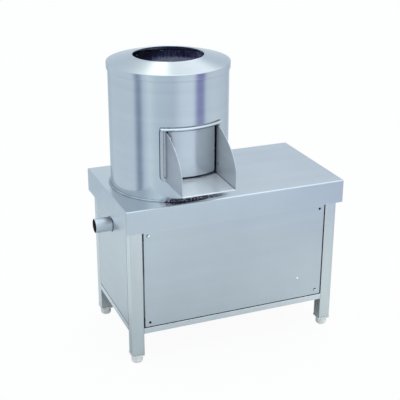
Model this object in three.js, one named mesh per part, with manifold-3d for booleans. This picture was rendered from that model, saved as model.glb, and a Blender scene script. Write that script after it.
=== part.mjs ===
// Floor-standing potato peeler: an abrasive-lined drum with a discharge chute, on a stainless
// steel stand whose cabinet holds the belt drive. Millimetres, +Z up.
// While it is built, the table's centre is at x = 0 and y = 0, the floor is at z = 0 and the
// chute faces -Y. At the end all is moved sideways, so that the origin is on the floor under
// the middle of the whole part.
import * as THREE from 'three';
import { mergeVertices } from 'three/addons/utils/BufferGeometryUtils.js';
import Module from 'manifold-3d';

const wasm = await Module();
wasm.setup();

// Clearances and the overrun of cuts
const fitGap = 0.3;
const cutOver = 4;

// Table: a top plate with a folded skirt
const tableWidth = 760;
const tableDepth = 425;
const tableHeight = 550;
const skirtHeight = 78;
const tableSheet = 2;
const tableCorner = 4;

// Legs of square tube, with tabs that carry the panels
const legSize = 40;
const legWall = 2;
const legInset = 16;
const legClear = 32;
const tabReach = 34;
const tabHeight = 28;
const tabSheet = 2;
const tabLowCentre = 147;
const tabHighDrop = 97.5;
const weldNutRadius = 6;
const weldNutLength = 9;
const weldNutWall = 1.5;

// Rails of square tube between the legs
const railSize = 20;
const railWall = 1.5;
const railClear = 108.5;

// Panels between the legs
const panelSheet = 2;
const panelSideGap = 5;
const panelLowGap = 4;
const panelHighGap = 6;
const panelReturn = 16;
const returnNotchGap = 2;
const endPanelSideGap = 1;
const screwInset = 16.5;
const screwHole = 2.8;
const rivetX = 230;
const rivetZ = 206.5;
const ventCount = 7;
const ventLength = 120;
const ventWidth = 6;
const ventPitch = 16;
const ventZ = 200;

// Screws of the front panel
const screwHead = 5;
const screwHeadHeight = 2.4;
const screwShank = 2.4;
const screwLength = 9;

// Feet: a square plug in each leg, with a round foot screwed into it
const plugCollar = 43;
const plugCollarHeight = 5;
const plugCorner = 3;
const plugDepth = 26;
const footRadius = 18.5;
const footBase = 9;
const footStem = 5;
const footStemLength = 29;

// Drum: shell, base ring, liner and pan
const drumX = -158;
const drumY = 4;
const drumRadius = 193;
const drumSheet = 2;
const baseRingWidth = 6;
const baseRingHeight = 4;
const linerThickness = 5;
const linerTopGap = 9;
const panSheet = 3;
const collarSheet = 3;
const collarHeight = 28;

// Lid ring: a shallow cone with a skirt and a feed hole
const lidRadius = 197;
const lidShoulder = 404;
const lidSkirt = 20;
const lidRise = 21;
const lidSheet = 2;
const lidEdge = 2;
const feedRadius = 112.5;
const feedLip = 7;

// Chute: its places are measured from the drum's axis and from the table's top
const chuteOffset = 10;
const chuteHalfWidth = 86;
const chuteSheet = 2;
const chuteReach = 125;
const chuteRootHeight = 75;
const chuteLipHeight = 70;
const wingNoseHeight = 112;
const wingStartInset = 146;
const wingFirstReachShare = 0.34;
const wingFirstDropShare = 0.04;
const wingSecondRiseShare = 0.5;
const chuteHem = 2.5;
const flangeWidth = 15;
const flangeCorner = 14;
const beadWidth = 8;
const beadHeight = 4.5;
const lintelDepth = 10;
const lintelHeight = 9;
const lintelUnderside = 231;

// Opening in the drum and the door in it
const openingBehindWing = 1;
const openingTopGap = 1;
const openingCorner = 6;
const doorThickness = 3;
const doorFingerGap = 9.5;
const doorLowGap = 3.5;
const doorHighGap = 2.5;
const doorCorner = 8;
const hingeInset = 9;
const hingeStandOff = 5.6;
const hingePin = 2.5;
const knuckleRadius = 5.5;
const knuckleHeight = 30;
const knuckleInset = 14;
const hingeHead = 4.5;
const hingeHeadHeight = 3;

// Door bolt in a guide on the right wing's outer side
const boltRadius = 4;
const boltHeight = 105;
const boltFromAxis = 181;
const boltTravel = 18;
const guideRadius = 9;
const guideLength = 14;
const knobRadius = 8;
const knobThickness = 7;

// Peeling disc: heights are above the table's top
const discRadius = 178;
const discUnderside = 50;
const discThickness = 12;
const ridgeHeight = 7;
const ridgeWidth = 26;
const ridgeCount = 3;
const ridgeStart = 34;
const ridgeEndGap = 10;
const hubRadius = 28;
const hubDrop = 18;
const wiperThickness = 6;
const wiperStart = 44;
const wiperEndGap = 10;
const wiperPanGap = 7;
const nutRadius = 17;
const nutHeight = 24;
const nutDomeShare = 0.45;
const nutSides = 6;

// Main shaft in its bearings, and the housing under the table
const shaftRadius = 12.5;
const shaftStub = 8;
const shaftStubLength = 16;
const neckRadius = 31;
const neckBore = 22;
const neckHeight = 26;
const housingFlange = 60;
const housingFlangeThickness = 8;
const housingRadius = 36;
const housingLength = 102;
const bearingRadius = 26;
const bearingWidth = 15;
const bearingInset = 4;
const sealHeight = 10;
const sealInset = 2;

// Belt drive: the pulleys' middle is this far under the table's top
const beltDrop = 140;
const drivenPitch = 106;
const motorPitch = 32;
const beltThickness = 8;
const beltHeight = 9.4;
const pulleyFlange = 5;
const pulleyHalfWidth = 12;
const grooveFlare = 2;
const drivenRim = 16;
const drivenWebThickness = 6;
const drivenHub = 24;
const shaftBelowPulley = 14;

// Motor, hung under its bracket
const motorX = 125;
const motorRadius = 68;
const motorLength = 190;
const motorFinCount = 24;
const motorFinDepth = 7;
const motorFinShare = 0.45;
const motorFlange = 82;
const motorFlangeThickness = 10;
const motorShaft = 9.5;
const motorShaftBelow = 26;
const fanRadius = 54;
const fanHub = 18;
const fanHeight = 18;
const fanBladeCount = 6;
const fanBladeThickness = 4;
const fanCoverLength = 38;
const fanCoverSheet = 2;
const fanCoverHole = 20;
const bracketSheet = 4;
const bracketLength = 200;
const bracketInsideWidth = 176;
const bracketFlange = 25;
const bracketHole = 40;
const bracketPulleyGap = 8;
const terminalBoxHeight = 70;
const terminalBoxWidth = 54;
const terminalBoxDepth = 34;

// Drain: the pan's outlet and the bent pipe that ends beyond the left side
const outletFromAxis = 150;
const outletLength = 46;
const outletWall = 2;
const outletGap = 0.6;
const pipeRadius = 24;
const pipeWall = 2.2;
const pipeDrop = 125;
const pipeBend = 42;
const pipeMouth = 420;
const pipeHoleGap = 1.5;

// Push buttons, switch box and cable gland
const buttonY = -60;
const buttonZ = 400;
const buttonSpacing = 44;
const buttonCap = 11;
const buttonCapHeight = 6;
const buttonStem = 6;
const buttonTravel = 3;
const buttonPlateSheet = 2;
const buttonPlateWidth = 52;
const buttonPlateHeight = 100;
const buttonPlateCorner = 8;
const switchBoxWidth = 46;
const switchBoxHeight = 92;
const switchBoxDepth = 44;
const stemReach = 12;
const glandFromLeg = 64;
const glandZ = 180;
const glandBore = 5;
const glandThread = 8;
const glandThreadLength = 12;
const glandNut = 11;
const glandNutThickness = 5;
const glandDome = 7.5;
const glandDomeLength = 7;

// Lead between the switch box and the motor's terminal box
const leadRadius = 4;
const leadReach = 60;

// Counts of facets
const drumFacets = 64;
const turnedFacets = 24;
const smallFacets = 16;
const pipeFacets = 20;
const leadFacets = 8;
const arcSteps = 4;
const bendSteps = 12;

// Materials
const finish = (name, colour, roughness, metalness) => {
  const material = new THREE.MeshStandardMaterial({ color: colour, roughness, metalness });
  material.name = name;
  return material;
};
const steel = finish('brushed_steel', 0xb4c2cc, 0.38, 0.9);
const darkSteel = finish('machined_steel', 0x8b9299, 0.42, 0.9);
const nylon = finish('white_nylon', 0xe9ecea, 0.55, 0);
const grit = finish('abrasive_grit', 0x24222c, 0.95, 0);
const rubber = finish('black_rubber', 0x1c1c1e, 0.8, 0);
const castIron = finish('cast_iron', 0x53575b, 0.6, 0.6);
const motorPaint = finish('motor_paint', 0x5f6b74, 0.5, 0.1);
const greenPlastic = finish('green_plastic', 0x1f8a45, 0.4, 0);
const redPlastic = finish('red_plastic', 0xb3231f, 0.4, 0);
const greyPlastic = finish('grey_plastic', 0x4c5257, 0.5, 0);

// Solids from geometry, and geometry from solids
const solidOf = (geometry) => {
  const bare = geometry.clone();
  bare.deleteAttribute('normal');
  bare.deleteAttribute('uv');
  const merged = mergeVertices(bare);
  const solid = new wasm.Manifold(new wasm.Mesh({
    numProp: 3,
    vertProperties: new Float32Array(merged.attributes.position.array),
    triVerts: new Uint32Array(merged.index.array),
  }));
  return solid;
};
const geometryOf = (solid) => {
  const mesh = solid.getMesh();
  const geometry = new THREE.BufferGeometry();
  geometry.setAttribute('position', new THREE.BufferAttribute(mesh.vertProperties, mesh.numProp));
  geometry.setIndex(new THREE.BufferAttribute(mesh.triVerts, 1));
  geometry.computeVertexNormals();
  return geometry;
};
const joined = (first, ...others) => others.reduce((whole, next) => whole.add(next), first);
const cut = (first, ...others) => others.reduce((whole, next) => whole.subtract(next), first);

// A block between two corners
const block = (x, y, z) => {
  const box = new THREE.BoxGeometry(x[1] - x[0], y[1] - y[0], z[1] - z[0]);
  box.translate((x[0] + x[1]) / 2, (y[0] + y[1]) / 2, (z[0] + z[1]) / 2);
  return solidOf(box);
};

// A solid turned about a vertical axis; its profile closes on itself, in [radius, height]
const turned = (profile, x, y, facets) => {
  const points = [...profile, profile[0]].map(([r, z]) => new THREE.Vector2(r, z));
  const shape = new THREE.LatheGeometry(points, facets);
  shape.rotateX(Math.PI / 2);
  shape.translate(x, y, 0);
  return solidOf(shape);
};
const ring = (inner, outer, low, high, x, y, facets) => turned(
  [[inner, low], [outer, low], [outer, high], [inner, high]], x, y, facets);
const post = (radius, low, high, x, y, facets) => turned(
  [[0, low], [radius, low], [radius, high], [0, high]], x, y, facets);

// Turned solids that lie along X or along Y
const alongX = (profile, y, z, facets) => {
  const points = [...profile, profile[0]].map(([r, along]) => new THREE.Vector2(r, along));
  const shape = new THREE.LatheGeometry(points, facets);
  shape.rotateZ(-Math.PI / 2);
  shape.translate(0, y, z);
  return solidOf(shape);
};
const rodX = (radius, low, high, y, z, facets) => alongX(
  [[0, low], [radius, low], [radius, high], [0, high]], y, z, facets);
const alongY = (profile, x, z, facets) => {
  const points = [...profile, profile[0]].map(([r, along]) => new THREE.Vector2(r, along));
  const shape = new THREE.LatheGeometry(points, facets);
  shape.translate(x, 0, z);
  return solidOf(shape);
};
const rodY = (radius, low, high, x, z, facets) => alongY(
  [[0, low], [radius, low], [radius, high], [0, high]], x, z, facets);

// Outlines pushed along an axis: drawn in X and Y, in X and Z, or in Y and Z
const extruded = (shape, length, segments) => new THREE.ExtrudeGeometry(shape, {
  depth: length, bevelEnabled: false, curveSegments: segments,
});
const pushedZ = (shape, low, high, segments = arcSteps) => {
  const plate = extruded(shape, high - low, segments);
  plate.translate(0, 0, low);
  return solidOf(plate);
};
const pushedY = (shape, low, high, segments = arcSteps) => {
  const plate = extruded(shape, high - low, segments);
  plate.rotateX(Math.PI / 2);
  plate.translate(0, high, 0);
  return solidOf(plate);
};
const pushedX = (shape, low, high, segments = arcSteps) => {
  const plate = extruded(shape, high - low, segments);
  plate.applyMatrix4(new THREE.Matrix4().makeBasis(
    new THREE.Vector3(0, 1, 0), new THREE.Vector3(0, 0, 1), new THREE.Vector3(1, 0, 0)));
  plate.translate(low, 0, 0);
  return solidOf(plate);
};
const roundedRectangle = (left, right, low, high, radius) => {
  const shape = new THREE.Shape();
  shape.moveTo(left + radius, low);
  shape.lineTo(right - radius, low);
  shape.absarc(right - radius, low + radius, radius, -Math.PI / 2, 0, false);
  shape.absarc(right - radius, high - radius, radius, 0, Math.PI / 2, false);
  shape.absarc(left + radius, high - radius, radius, Math.PI / 2, Math.PI, false);
  shape.absarc(left + radius, low + radius, radius, Math.PI, Math.PI * 1.5, false);
  return shape;
};

// An upright plate outline with square top corners and its own radius at each lower corner
const lowRoundedOutline = (left, right, low, high, leftRadius, rightRadius) => {
  const shape = new THREE.Shape();
  shape.moveTo(right, high);
  shape.lineTo(left, high);
  if (leftRadius > 0) {
    shape.absarc(left + leftRadius, low + leftRadius, leftRadius, Math.PI, Math.PI * 1.5, false);
  } else {
    shape.lineTo(left, low);
  }
  if (rightRadius > 0) {
    shape.absarc(right - rightRadius, low + rightRadius, rightRadius, -Math.PI / 2, 0, false);
  } else {
    shape.lineTo(right, low);
  }
  return shape;
};

const assembly = new THREE.Group();
const piece = (name, solid, material) => {
  const mesh = new THREE.Mesh(geometryOf(solid), material);
  mesh.name = name;
  assembly.add(mesh);
};

// Shared places
const tableUnderside = tableHeight - tableSheet;
const legFaceX = tableWidth / 2 - legInset;
const legFaceY = tableDepth / 2 - legInset;
const tabHighCentre = tableHeight - tabHighDrop;
const legInnerX = legFaceX - legSize;
const legInnerY = legFaceY - legSize;
const glandX = legInnerX - glandFromLeg;
const railTop = railClear + railSize;
const panelLow = railTop + panelLowGap;
const panelHigh = tableUnderside - panelHighGap;
const legCorners = [
  ['front_left', -1, -1],
  ['front_right', 1, -1],
  ['rear_left', -1, 1],
  ['rear_right', 1, 1],
];

// Orders a span whose two ends may have been mirrored
const span = (a, b) => [Math.min(a, b), Math.max(a, b)];

// Table top, with holes for the bearing housing's neck and for the pan's outlet
const outletX = drumX - outletFromAxis;
const outletRadius = pipeRadius - pipeWall - outletGap;
const makeTableTop = () => {
  const outer = roundedRectangle(
    -tableWidth / 2, tableWidth / 2, -tableDepth / 2, tableDepth / 2, tableCorner);
  const hollow = roundedRectangle(
    -tableWidth / 2 + tableSheet, tableWidth / 2 - tableSheet,
    -tableDepth / 2 + tableSheet, tableDepth / 2 - tableSheet, tableCorner - tableSheet);
  const low = tableHeight - skirtHeight;
  const sheet = cut(
    pushedZ(outer, low, tableHeight),
    pushedZ(hollow, low - cutOver, tableUnderside),
    post(neckRadius + fitGap, tableUnderside - cutOver, tableHeight + cutOver,
      drumX, drumY, turnedFacets),
    post(outletRadius + fitGap, tableUnderside - cutOver, tableHeight + cutOver,
      outletX, drumY, turnedFacets));
  piece('table_top', sheet, steel);
};

// Legs with their welded tabs, and blind nuts for the front panel's screws
const makeLeg = (name, sideX, sideY) => {
  const x = span(sideX * legFaceX, sideX * legInnerX);
  const y = span(sideY * legFaceY, sideY * legInnerY);
  const legTop = tableUnderside - fitGap;
  const tabFace = panelSheet + fitGap;
  const tabs = [tabLowCentre, tabHighCentre].flatMap((centre) => {
    const z = [centre - tabHeight / 2, centre + tabHeight / 2];
    const frontTab = block(
      span(sideX * (legInnerX + legWall / 2), sideX * (legInnerX - tabReach)),
      span(sideY * (legFaceY - tabFace), sideY * (legFaceY - tabFace - tabSheet)), z);
    const endTab = block(
      span(sideX * (legFaceX - tabFace), sideX * (legFaceX - tabFace - tabSheet)),
      span(sideY * (legInnerY + legWall / 2), sideY * (legInnerY - tabReach)), z);
    return [frontTab, endTab];
  });
  const bore = block([x[0] + legWall, x[1] - legWall], [y[0] + legWall, y[1] - legWall],
    [legClear - cutOver, legTop + cutOver]);
  const tube = block(x, y, [legClear, legTop]);
  const screwHeights = sideY < 0 ? [tabLowCentre, tabHighCentre] : [];
  const holeX = sideX * (legInnerX - panelSideGap - screwInset);
  const nutFront = -legFaceY + tabFace + tabSheet / 2;
  const nutBack = nutFront + weldNutLength;
  const nuts = screwHeights.map((centre) => rodY(
    weldNutRadius, nutFront, nutBack, holeX, centre, smallFacets));
  const screwHoles = screwHeights.map((centre) => rodY(
    screwHole, -legFaceY - cutOver, nutBack - weldNutWall, holeX, centre, smallFacets));
  piece(`${name}_leg`, cut(joined(tube, ...tabs, ...nuts), bore, ...screwHoles), steel);
};

// Rails between the legs, of square tube
const makeRails = () => {
  const z = [railClear, railTop];
  const boreZ = [railClear + railWall, railTop - railWall];
  const alongTable = [-legInnerX + fitGap, legInnerX - fitGap];
  const acrossTable = [-legInnerY + fitGap, legInnerY - fitGap];
  [['front_rail', -1], ['rear_rail', 1]].forEach(([name, side]) => {
    const y = span(side * legFaceY, side * (legFaceY - railSize));
    const bore = block([alongTable[0] - cutOver, alongTable[1] + cutOver],
      [y[0] + railWall, y[1] - railWall], boreZ);
    piece(name, cut(block(alongTable, y, z), bore), steel);
  });
  [['left_rail', -1], ['right_rail', 1]].forEach(([name, side]) => {
    const x = span(side * legFaceX, side * (legFaceX - railSize));
    const bore = block([x[0] + railWall, x[1] - railWall],
      [acrossTable[0] - cutOver, acrossTable[1] + cutOver], boreZ);
    piece(name, cut(block(x, acrossTable, z), bore), steel);
  });
};

// Panels: sheets on the legs' tabs, the front and rear ones with folded upright edges
const panelHalf = legInnerX - panelSideGap;
const screwX = panelHalf - screwInset;
const endPanelHalf = legInnerY - endPanelSideGap;
const screwPlaces = [-screwX, screwX].flatMap(
  (x) => [tabLowCentre, tabHighCentre].map((z) => [x, z]));
const pipeZ = tableHeight - pipeDrop;
const buttonPlaces = [
  ['start_button', buttonY, buttonZ + buttonSpacing / 2, greenPlastic],
  ['stop_button', buttonY, buttonZ - buttonSpacing / 2, redPlastic],
];
const makePanels = () => {
  const z = [panelLow, panelHigh];
  const screwCuts = (low, high) => screwPlaces.map(
    ([x, height]) => rodY(screwHole, low, high, x, height, smallFacets));
  const foldedSheet = (face, inward) => {
    const back = face + inward * panelSheet;
    const edge = face + inward * panelReturn;
    const returns = [-panelHalf, panelHalf - panelSheet].map(
      (x) => block([x, x + panelSheet], span(face, edge), z));
    const notches = [tabLowCentre, tabHighCentre].map((centre) => block(
      [-panelHalf - cutOver, panelHalf + cutOver], span(back, edge + inward * cutOver),
      [centre - tabHeight / 2 - returnNotchGap, centre + tabHeight / 2 + returnNotchGap]));
    return joined(
      block([-panelHalf, panelHalf], span(face, back), z),
      cut(joined(...returns), ...notches));
  };
  const frontY = [-legFaceY, -legFaceY + panelSheet];
  const frontCuts = [frontY[0] - cutOver, frontY[1] + cutOver];
  piece('front_panel', cut(
    foldedSheet(-legFaceY, 1),
    ...screwCuts(...frontCuts),
    rodY(screwHole, ...frontCuts, rivetX, rivetZ, smallFacets)), steel);

  const rearY = [legFaceY - panelSheet, legFaceY];
  const rearCuts = [rearY[0] - cutOver, rearY[1] + cutOver];
  const vents = Array.from({ length: ventCount }, (_, i) => {
    const low = ventZ + i * ventPitch;
    return block([motorX - ventLength / 2, motorX + ventLength / 2], rearCuts,
      [low, low + ventWidth]);
  });
  piece('rear_panel', cut(
    foldedSheet(legFaceY, -1),
    ...vents,
    rodY(glandThread + fitGap, ...rearCuts, glandX, glandZ, smallFacets)), steel);

  const endY = [-endPanelHalf, endPanelHalf];
  const leftX = [-legFaceX, -legFaceX + panelSheet];
  piece('left_panel', cut(
    block(leftX, endY, z),
    rodX(pipeRadius + pipeHoleGap, leftX[0] - cutOver, leftX[1] + cutOver,
      drumY, pipeZ, turnedFacets)), steel);

  const rightX = [legFaceX - panelSheet, legFaceX];
  const stemHoles = buttonPlaces.map(([, y, height]) => rodX(
    buttonStem + fitGap, rightX[0] - cutOver, rightX[1] + cutOver, y, height, smallFacets));
  piece('right_panel', cut(block(rightX, endY, z), ...stemHoles), steel);
};

// Screws that the front panel still has, and a rivet lower down
const makeScrews = () => {
  const headBack = -legFaceY - fitGap;
  const screw = (name, x, z, length) => {
    const head = [
      [0, headBack + length],
      [screwShank, headBack + length],
      [screwShank, headBack],
      [screwHead, headBack],
      [screwHead, headBack - screwHeadHeight / 2],
      [screwHead / 2, headBack - screwHeadHeight],
      [0, headBack - screwHeadHeight],
    ].reverse();
    piece(name, alongY(head, x, z, smallFacets), steel);
  };
  screw('panel_screw_top_left', -screwX, tabHighCentre, screwLength);
  screw('panel_screw_bottom_right', screwX, tabLowCentre, screwLength);
  screw('panel_rivet', rivetX, rivetZ, screwLength / 2);
};

// Plugs and feet
const makeFoot = (name, sideX, sideY) => {
  const x = sideX * (legFaceX - legSize / 2);
  const y = sideY * (legFaceY - legSize / 2);
  const collarTop = legClear - fitGap;
  const collarLow = collarTop - plugCollarHeight;
  const collar = roundedRectangle(x - plugCollar / 2, x + plugCollar / 2,
    y - plugCollar / 2, y + plugCollar / 2, plugCorner);
  const spigot = legSize / 2 - legWall - fitGap;
  const plug = cut(
    joined(pushedZ(collar, collarLow, collarTop),
      block([x - spigot, x + spigot], [y - spigot, y + spigot],
        [collarTop - plugCollarHeight / 2, collarTop + plugDepth])),
    post(footStem + fitGap, collarLow - cutOver, collarTop + plugDepth + cutOver,
      x, y, smallFacets));
  piece(`${name}_plug`, plug, nylon);

  const top = collarLow - fitGap;
  const steps = Array.from({ length: arcSteps + 1 }, (_, i) => {
    const angle = (i / arcSteps) * (Math.PI / 2);
    const radius = footBase + (footRadius - footBase) * Math.sin(angle);
    return [radius, (footRadius - footBase) * (1 - Math.cos(angle))];
  });
  const foot = turned([
    [0, 0], ...steps, [footRadius, top], [footStem, top],
    [footStem, top + footStemLength], [0, top + footStemLength],
  ], x, y, turnedFacets);
  piece(`${name}_foot`, foot, nylon);
};

// Drum shell, with its opening at the front
const drumFloor = tableHeight + fitGap;
const drumInner = drumRadius - drumSheet;
const lidSlope = lidRise / (lidRadius - feedRadius);
const lidTop = tableHeight + lidShoulder;
const lidUnderside = (radius) => lidTop + (lidRadius - radius) * lidSlope - lidSheet;
const drumTop = lidUnderside(drumRadius) - fitGap;
const chuteX = drumX + chuteOffset;
const openingLeft = chuteX - chuteHalfWidth - openingBehindWing;
const openingRight = chuteX + chuteHalfWidth + openingBehindWing;
const openingLow = tableHeight + chuteRootHeight;
const lintelLow = tableHeight + lintelUnderside;
const openingHigh = lintelLow - openingTopGap;
const frontCut = (outline) => pushedY(outline, drumY - drumRadius - chuteReach, drumY);
const openingCut = () => frontCut(lowRoundedOutline(
  openingLeft, openingRight, openingLow, openingHigh, openingCorner, openingCorner));
const makeDrum = () => {
  piece('drum_shell', cut(
    ring(drumInner, drumRadius, drumFloor, drumTop, drumX, drumY, drumFacets),
    openingCut()), steel);
  const ringInner = drumRadius + fitGap;
  piece('drum_base_ring', ring(ringInner, ringInner + baseRingWidth, drumFloor,
    drumFloor + baseRingHeight, drumX, drumY, drumFacets), steel);

  const panRadius = drumInner - fitGap;
  const panTop = drumFloor + panSheet;
  const panHole = neckRadius + fitGap;
  const pan = cut(
    joined(
      turned([
        [panHole, drumFloor], [panRadius, drumFloor], [panRadius, panTop],
        [panHole + collarSheet, panTop], [panHole + collarSheet, tableHeight + collarHeight],
        [panHole, tableHeight + collarHeight],
      ], drumX, drumY, drumFacets),
      post(outletRadius, drumFloor - outletLength, panTop - panSheet / 2,
        outletX, drumY, turnedFacets)),
    post(outletRadius - outletWall, drumFloor - outletLength - cutOver, panTop + cutOver,
      outletX, drumY, turnedFacets));
  piece('drum_pan', pan, steel);

  const linerInner = panRadius - linerThickness;
  piece('abrasive_liner', cut(
    ring(linerInner, panRadius, panTop + fitGap, drumTop - linerTopGap,
      drumX, drumY, drumFacets),
    openingCut()), grit);
};

// Lid ring: skirt, rounded shoulder, cone and turned-down lip at the feed hole
const makeLid = () => {
  const skirtLow = lidTop - lidSkirt;
  const feedTop = lidTop + lidRise;
  const lipInner = feedRadius + lidSheet;
  const lid = turned([
    [lidRadius, skirtLow],
    [lidRadius, lidTop - lidEdge],
    [lidRadius - lidEdge / 2, lidTop - lidEdge / 4],
    [lidRadius - lidEdge, lidTop + lidEdge * lidSlope],
    [lipInner, feedTop],
    [feedRadius, feedTop - lidSheet / 2],
    [feedRadius, feedTop - feedLip],
    [lipInner, feedTop - feedLip],
    [lipInner, lidUnderside(lipInner)],
    [lidRadius - lidSheet, lidUnderside(lidRadius - lidSheet)],
    [lidRadius - lidSheet, skirtLow],
  ], drumX, drumY, drumFacets);
  piece('lid_ring', lid, steel);
};

// Chute: floor with a rolled hem, two wings whose flanges lie on the drum and end in a raised
// bead, and the lintel over the opening
const seatRadius = drumRadius + fitGap;
const lipY = drumY - drumRadius - chuteReach;
const wingInnerLeft = chuteX - chuteHalfWidth;
const wingInnerRight = chuteX + chuteHalfWidth;
const rootZ = tableHeight + chuteRootHeight;
const lipZ = tableHeight + chuteLipHeight;
const hingeX = wingInnerLeft + hingeInset;
const hingeY = drumY - Math.sqrt(drumRadius ** 2 - (hingeX - drumX) ** 2) - hingeStandOff;
const hingeHole = hingePin + fitGap;
const drumBody = () => post(
  seatRadius, tableHeight - cutOver, drumTop + cutOver, drumX, drumY, drumFacets);
const frontBand = (depth, outline) => ring(
  seatRadius, seatRadius + depth, tableHeight - cutOver, drumTop + cutOver,
  drumX, drumY, drumFacets).intersect(frontCut(outline));
const makeChuteFloor = () => {
  const ends = [wingInnerLeft + fitGap, wingInnerRight - fitGap];
  const hemY = lipY + chuteHem;
  const slab = new THREE.Shape();
  slab.moveTo(drumY, rootZ);
  slab.lineTo(hemY, lipZ);
  slab.lineTo(hemY, lipZ - chuteSheet);
  slab.lineTo(drumY, rootZ - chuteSheet);
  const floor = cut(
    joined(pushedX(slab, ...ends), rodX(chuteHem, ...ends, hemY, lipZ - chuteHem, smallFacets)),
    drumBody(),
    post(hingeHole, lipZ - chuteSheet - cutOver, rootZ + cutOver, hingeX, hingeY, smallFacets));
  piece('chute_floor', floor, steel);
};
const wingTop = lintelLow - fitGap;
const boltY = drumY - boltFromAxis;
const boltZ = tableHeight + boltHeight;
const makeWing = (name, side) => {
  const start = lipY + wingStartInset;
  const noseZ = tableHeight + wingNoseHeight;
  const fall = wingTop - noseZ;
  const outline = new THREE.Shape();
  outline.moveTo(drumY, wingTop);
  outline.lineTo(start, wingTop);
  outline.bezierCurveTo(
    start - wingStartInset * wingFirstReachShare, wingTop - fall * wingFirstDropShare,
    lipY, noseZ + fall * wingSecondRiseShare, lipY, noseZ);
  outline.lineTo(lipY, lipZ - chuteSheet);
  outline.lineTo(drumY, rootZ - chuteSheet);
  const inner = side < 0 ? wingInnerLeft : wingInnerRight;
  const outer = inner + side * chuteSheet;
  const plate = pushedX(outline, ...span(inner, outer), 2 * arcSteps);
  const flangeOuter = outer + side * flangeWidth;
  const flangeLow = rootZ - chuteSheet;
  const outlineTo = (edge, low, high, corner) => lowRoundedOutline(
    ...span(inner, edge), low, high, side < 0 ? corner : 0, side < 0 ? 0 : corner);
  const flangeOutline = () => outlineTo(flangeOuter, flangeLow, wingTop, flangeCorner);
  const bead = cut(frontBand(beadHeight, flangeOutline()), frontCut(outlineTo(
    flangeOuter - side * beadWidth, flangeLow + beadWidth, wingTop + cutOver,
    flangeCorner - beadWidth)));
  const flange = joined(frontBand(chuteSheet, flangeOutline()), bead);
  let wing = joined(cut(plate, drumBody()), flange);
  if (side > 0) {
    wing = cut(wing, rodX(boltRadius + fitGap, inner - cutOver, outer + cutOver,
      boltY, boltZ, smallFacets));
  }
  piece(name, wing, steel);
};
const makeLintel = () => {
  const left = wingInnerLeft - chuteSheet - flangeWidth;
  const right = wingInnerRight + chuteSheet + flangeWidth;
  const outline = roundedRectangle(
    left, right, lintelLow, lintelLow + lintelHeight, lintelHeight / 4);
  const lintel = cut(
    frontBand(lintelDepth, outline),
    post(hingeHole, lintelLow - cutOver, lintelLow + lintelHeight + cutOver,
      hingeX, hingeY, smallFacets));
  piece('chute_lintel', lintel, steel);
};

// Door: a curved plate with two knuckles on an upright pin at the left of the opening
const doorLow = openingLow + doorLowGap;
const doorHigh = openingHigh - doorHighGap;
const makeDoor = () => {
  const outer = drumRadius - fitGap;
  const left = hingeX - hingePin;
  const right = openingRight - doorFingerGap;
  const outline = lowRoundedOutline(left, right, doorLow, doorHigh, doorCorner, doorCorner);
  const plate = ring(outer - doorThickness, outer, doorLow, doorHigh,
    drumX, drumY, drumFacets).intersect(frontCut(outline));
  const knuckles = [doorLow + knuckleInset, doorHigh - knuckleInset - knuckleHeight].map(
    (low) => joined(
      post(knuckleRadius, low, low + knuckleHeight, hingeX, hingeY, smallFacets),
      block([hingeX - hingePin, hingeX + hingePin],
        [hingeY, hingeY + hingeStandOff + doorThickness], [low, low + knuckleHeight])));
  const door = cut(joined(plate, ...knuckles),
    post(hingeHole, doorLow - cutOver, doorHigh + cutOver, hingeX, hingeY, smallFacets));
  piece('door_panel', door, steel);

  const floorUnderside = rootZ - chuteSheet - fitGap;
  const headTop = floorUnderside - (rootZ - lipZ);
  const pin = turned([
    [0, headTop - hingeHeadHeight], [hingeHead, headTop - hingeHeadHeight],
    [hingeHead, headTop], [hingePin, headTop],
    [hingePin, lintelLow + lintelHeight], [0, lintelLow + lintelHeight],
  ], hingeX, hingeY, smallFacets);
  piece('door_hinge_pin', pin, darkSteel);
};

// Door bolt, drawn back at rest
const makeBolt = () => {
  const wingOuter = wingInnerRight + chuteSheet;
  const guideLow = wingOuter + fitGap;
  const guideHigh = guideLow + guideLength;
  const tip = wingInnerRight + chuteSheet / 2;
  const knobLow = guideHigh + boltTravel + fitGap;
  piece('door_bolt_guide', alongX([
    [boltRadius + fitGap, guideLow], [guideRadius, guideLow],
    [guideRadius, guideHigh], [boltRadius + fitGap, guideHigh],
  ], boltY, boltZ, smallFacets), darkSteel);
  piece('door_bolt', alongX([
    [0, tip], [boltRadius, tip], [boltRadius, knobLow], [knobRadius, knobLow],
    [knobRadius, knobLow + knobThickness], [0, knobLow + knobThickness],
  ], boltY, boltZ, smallFacets), darkSteel);
};

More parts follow.
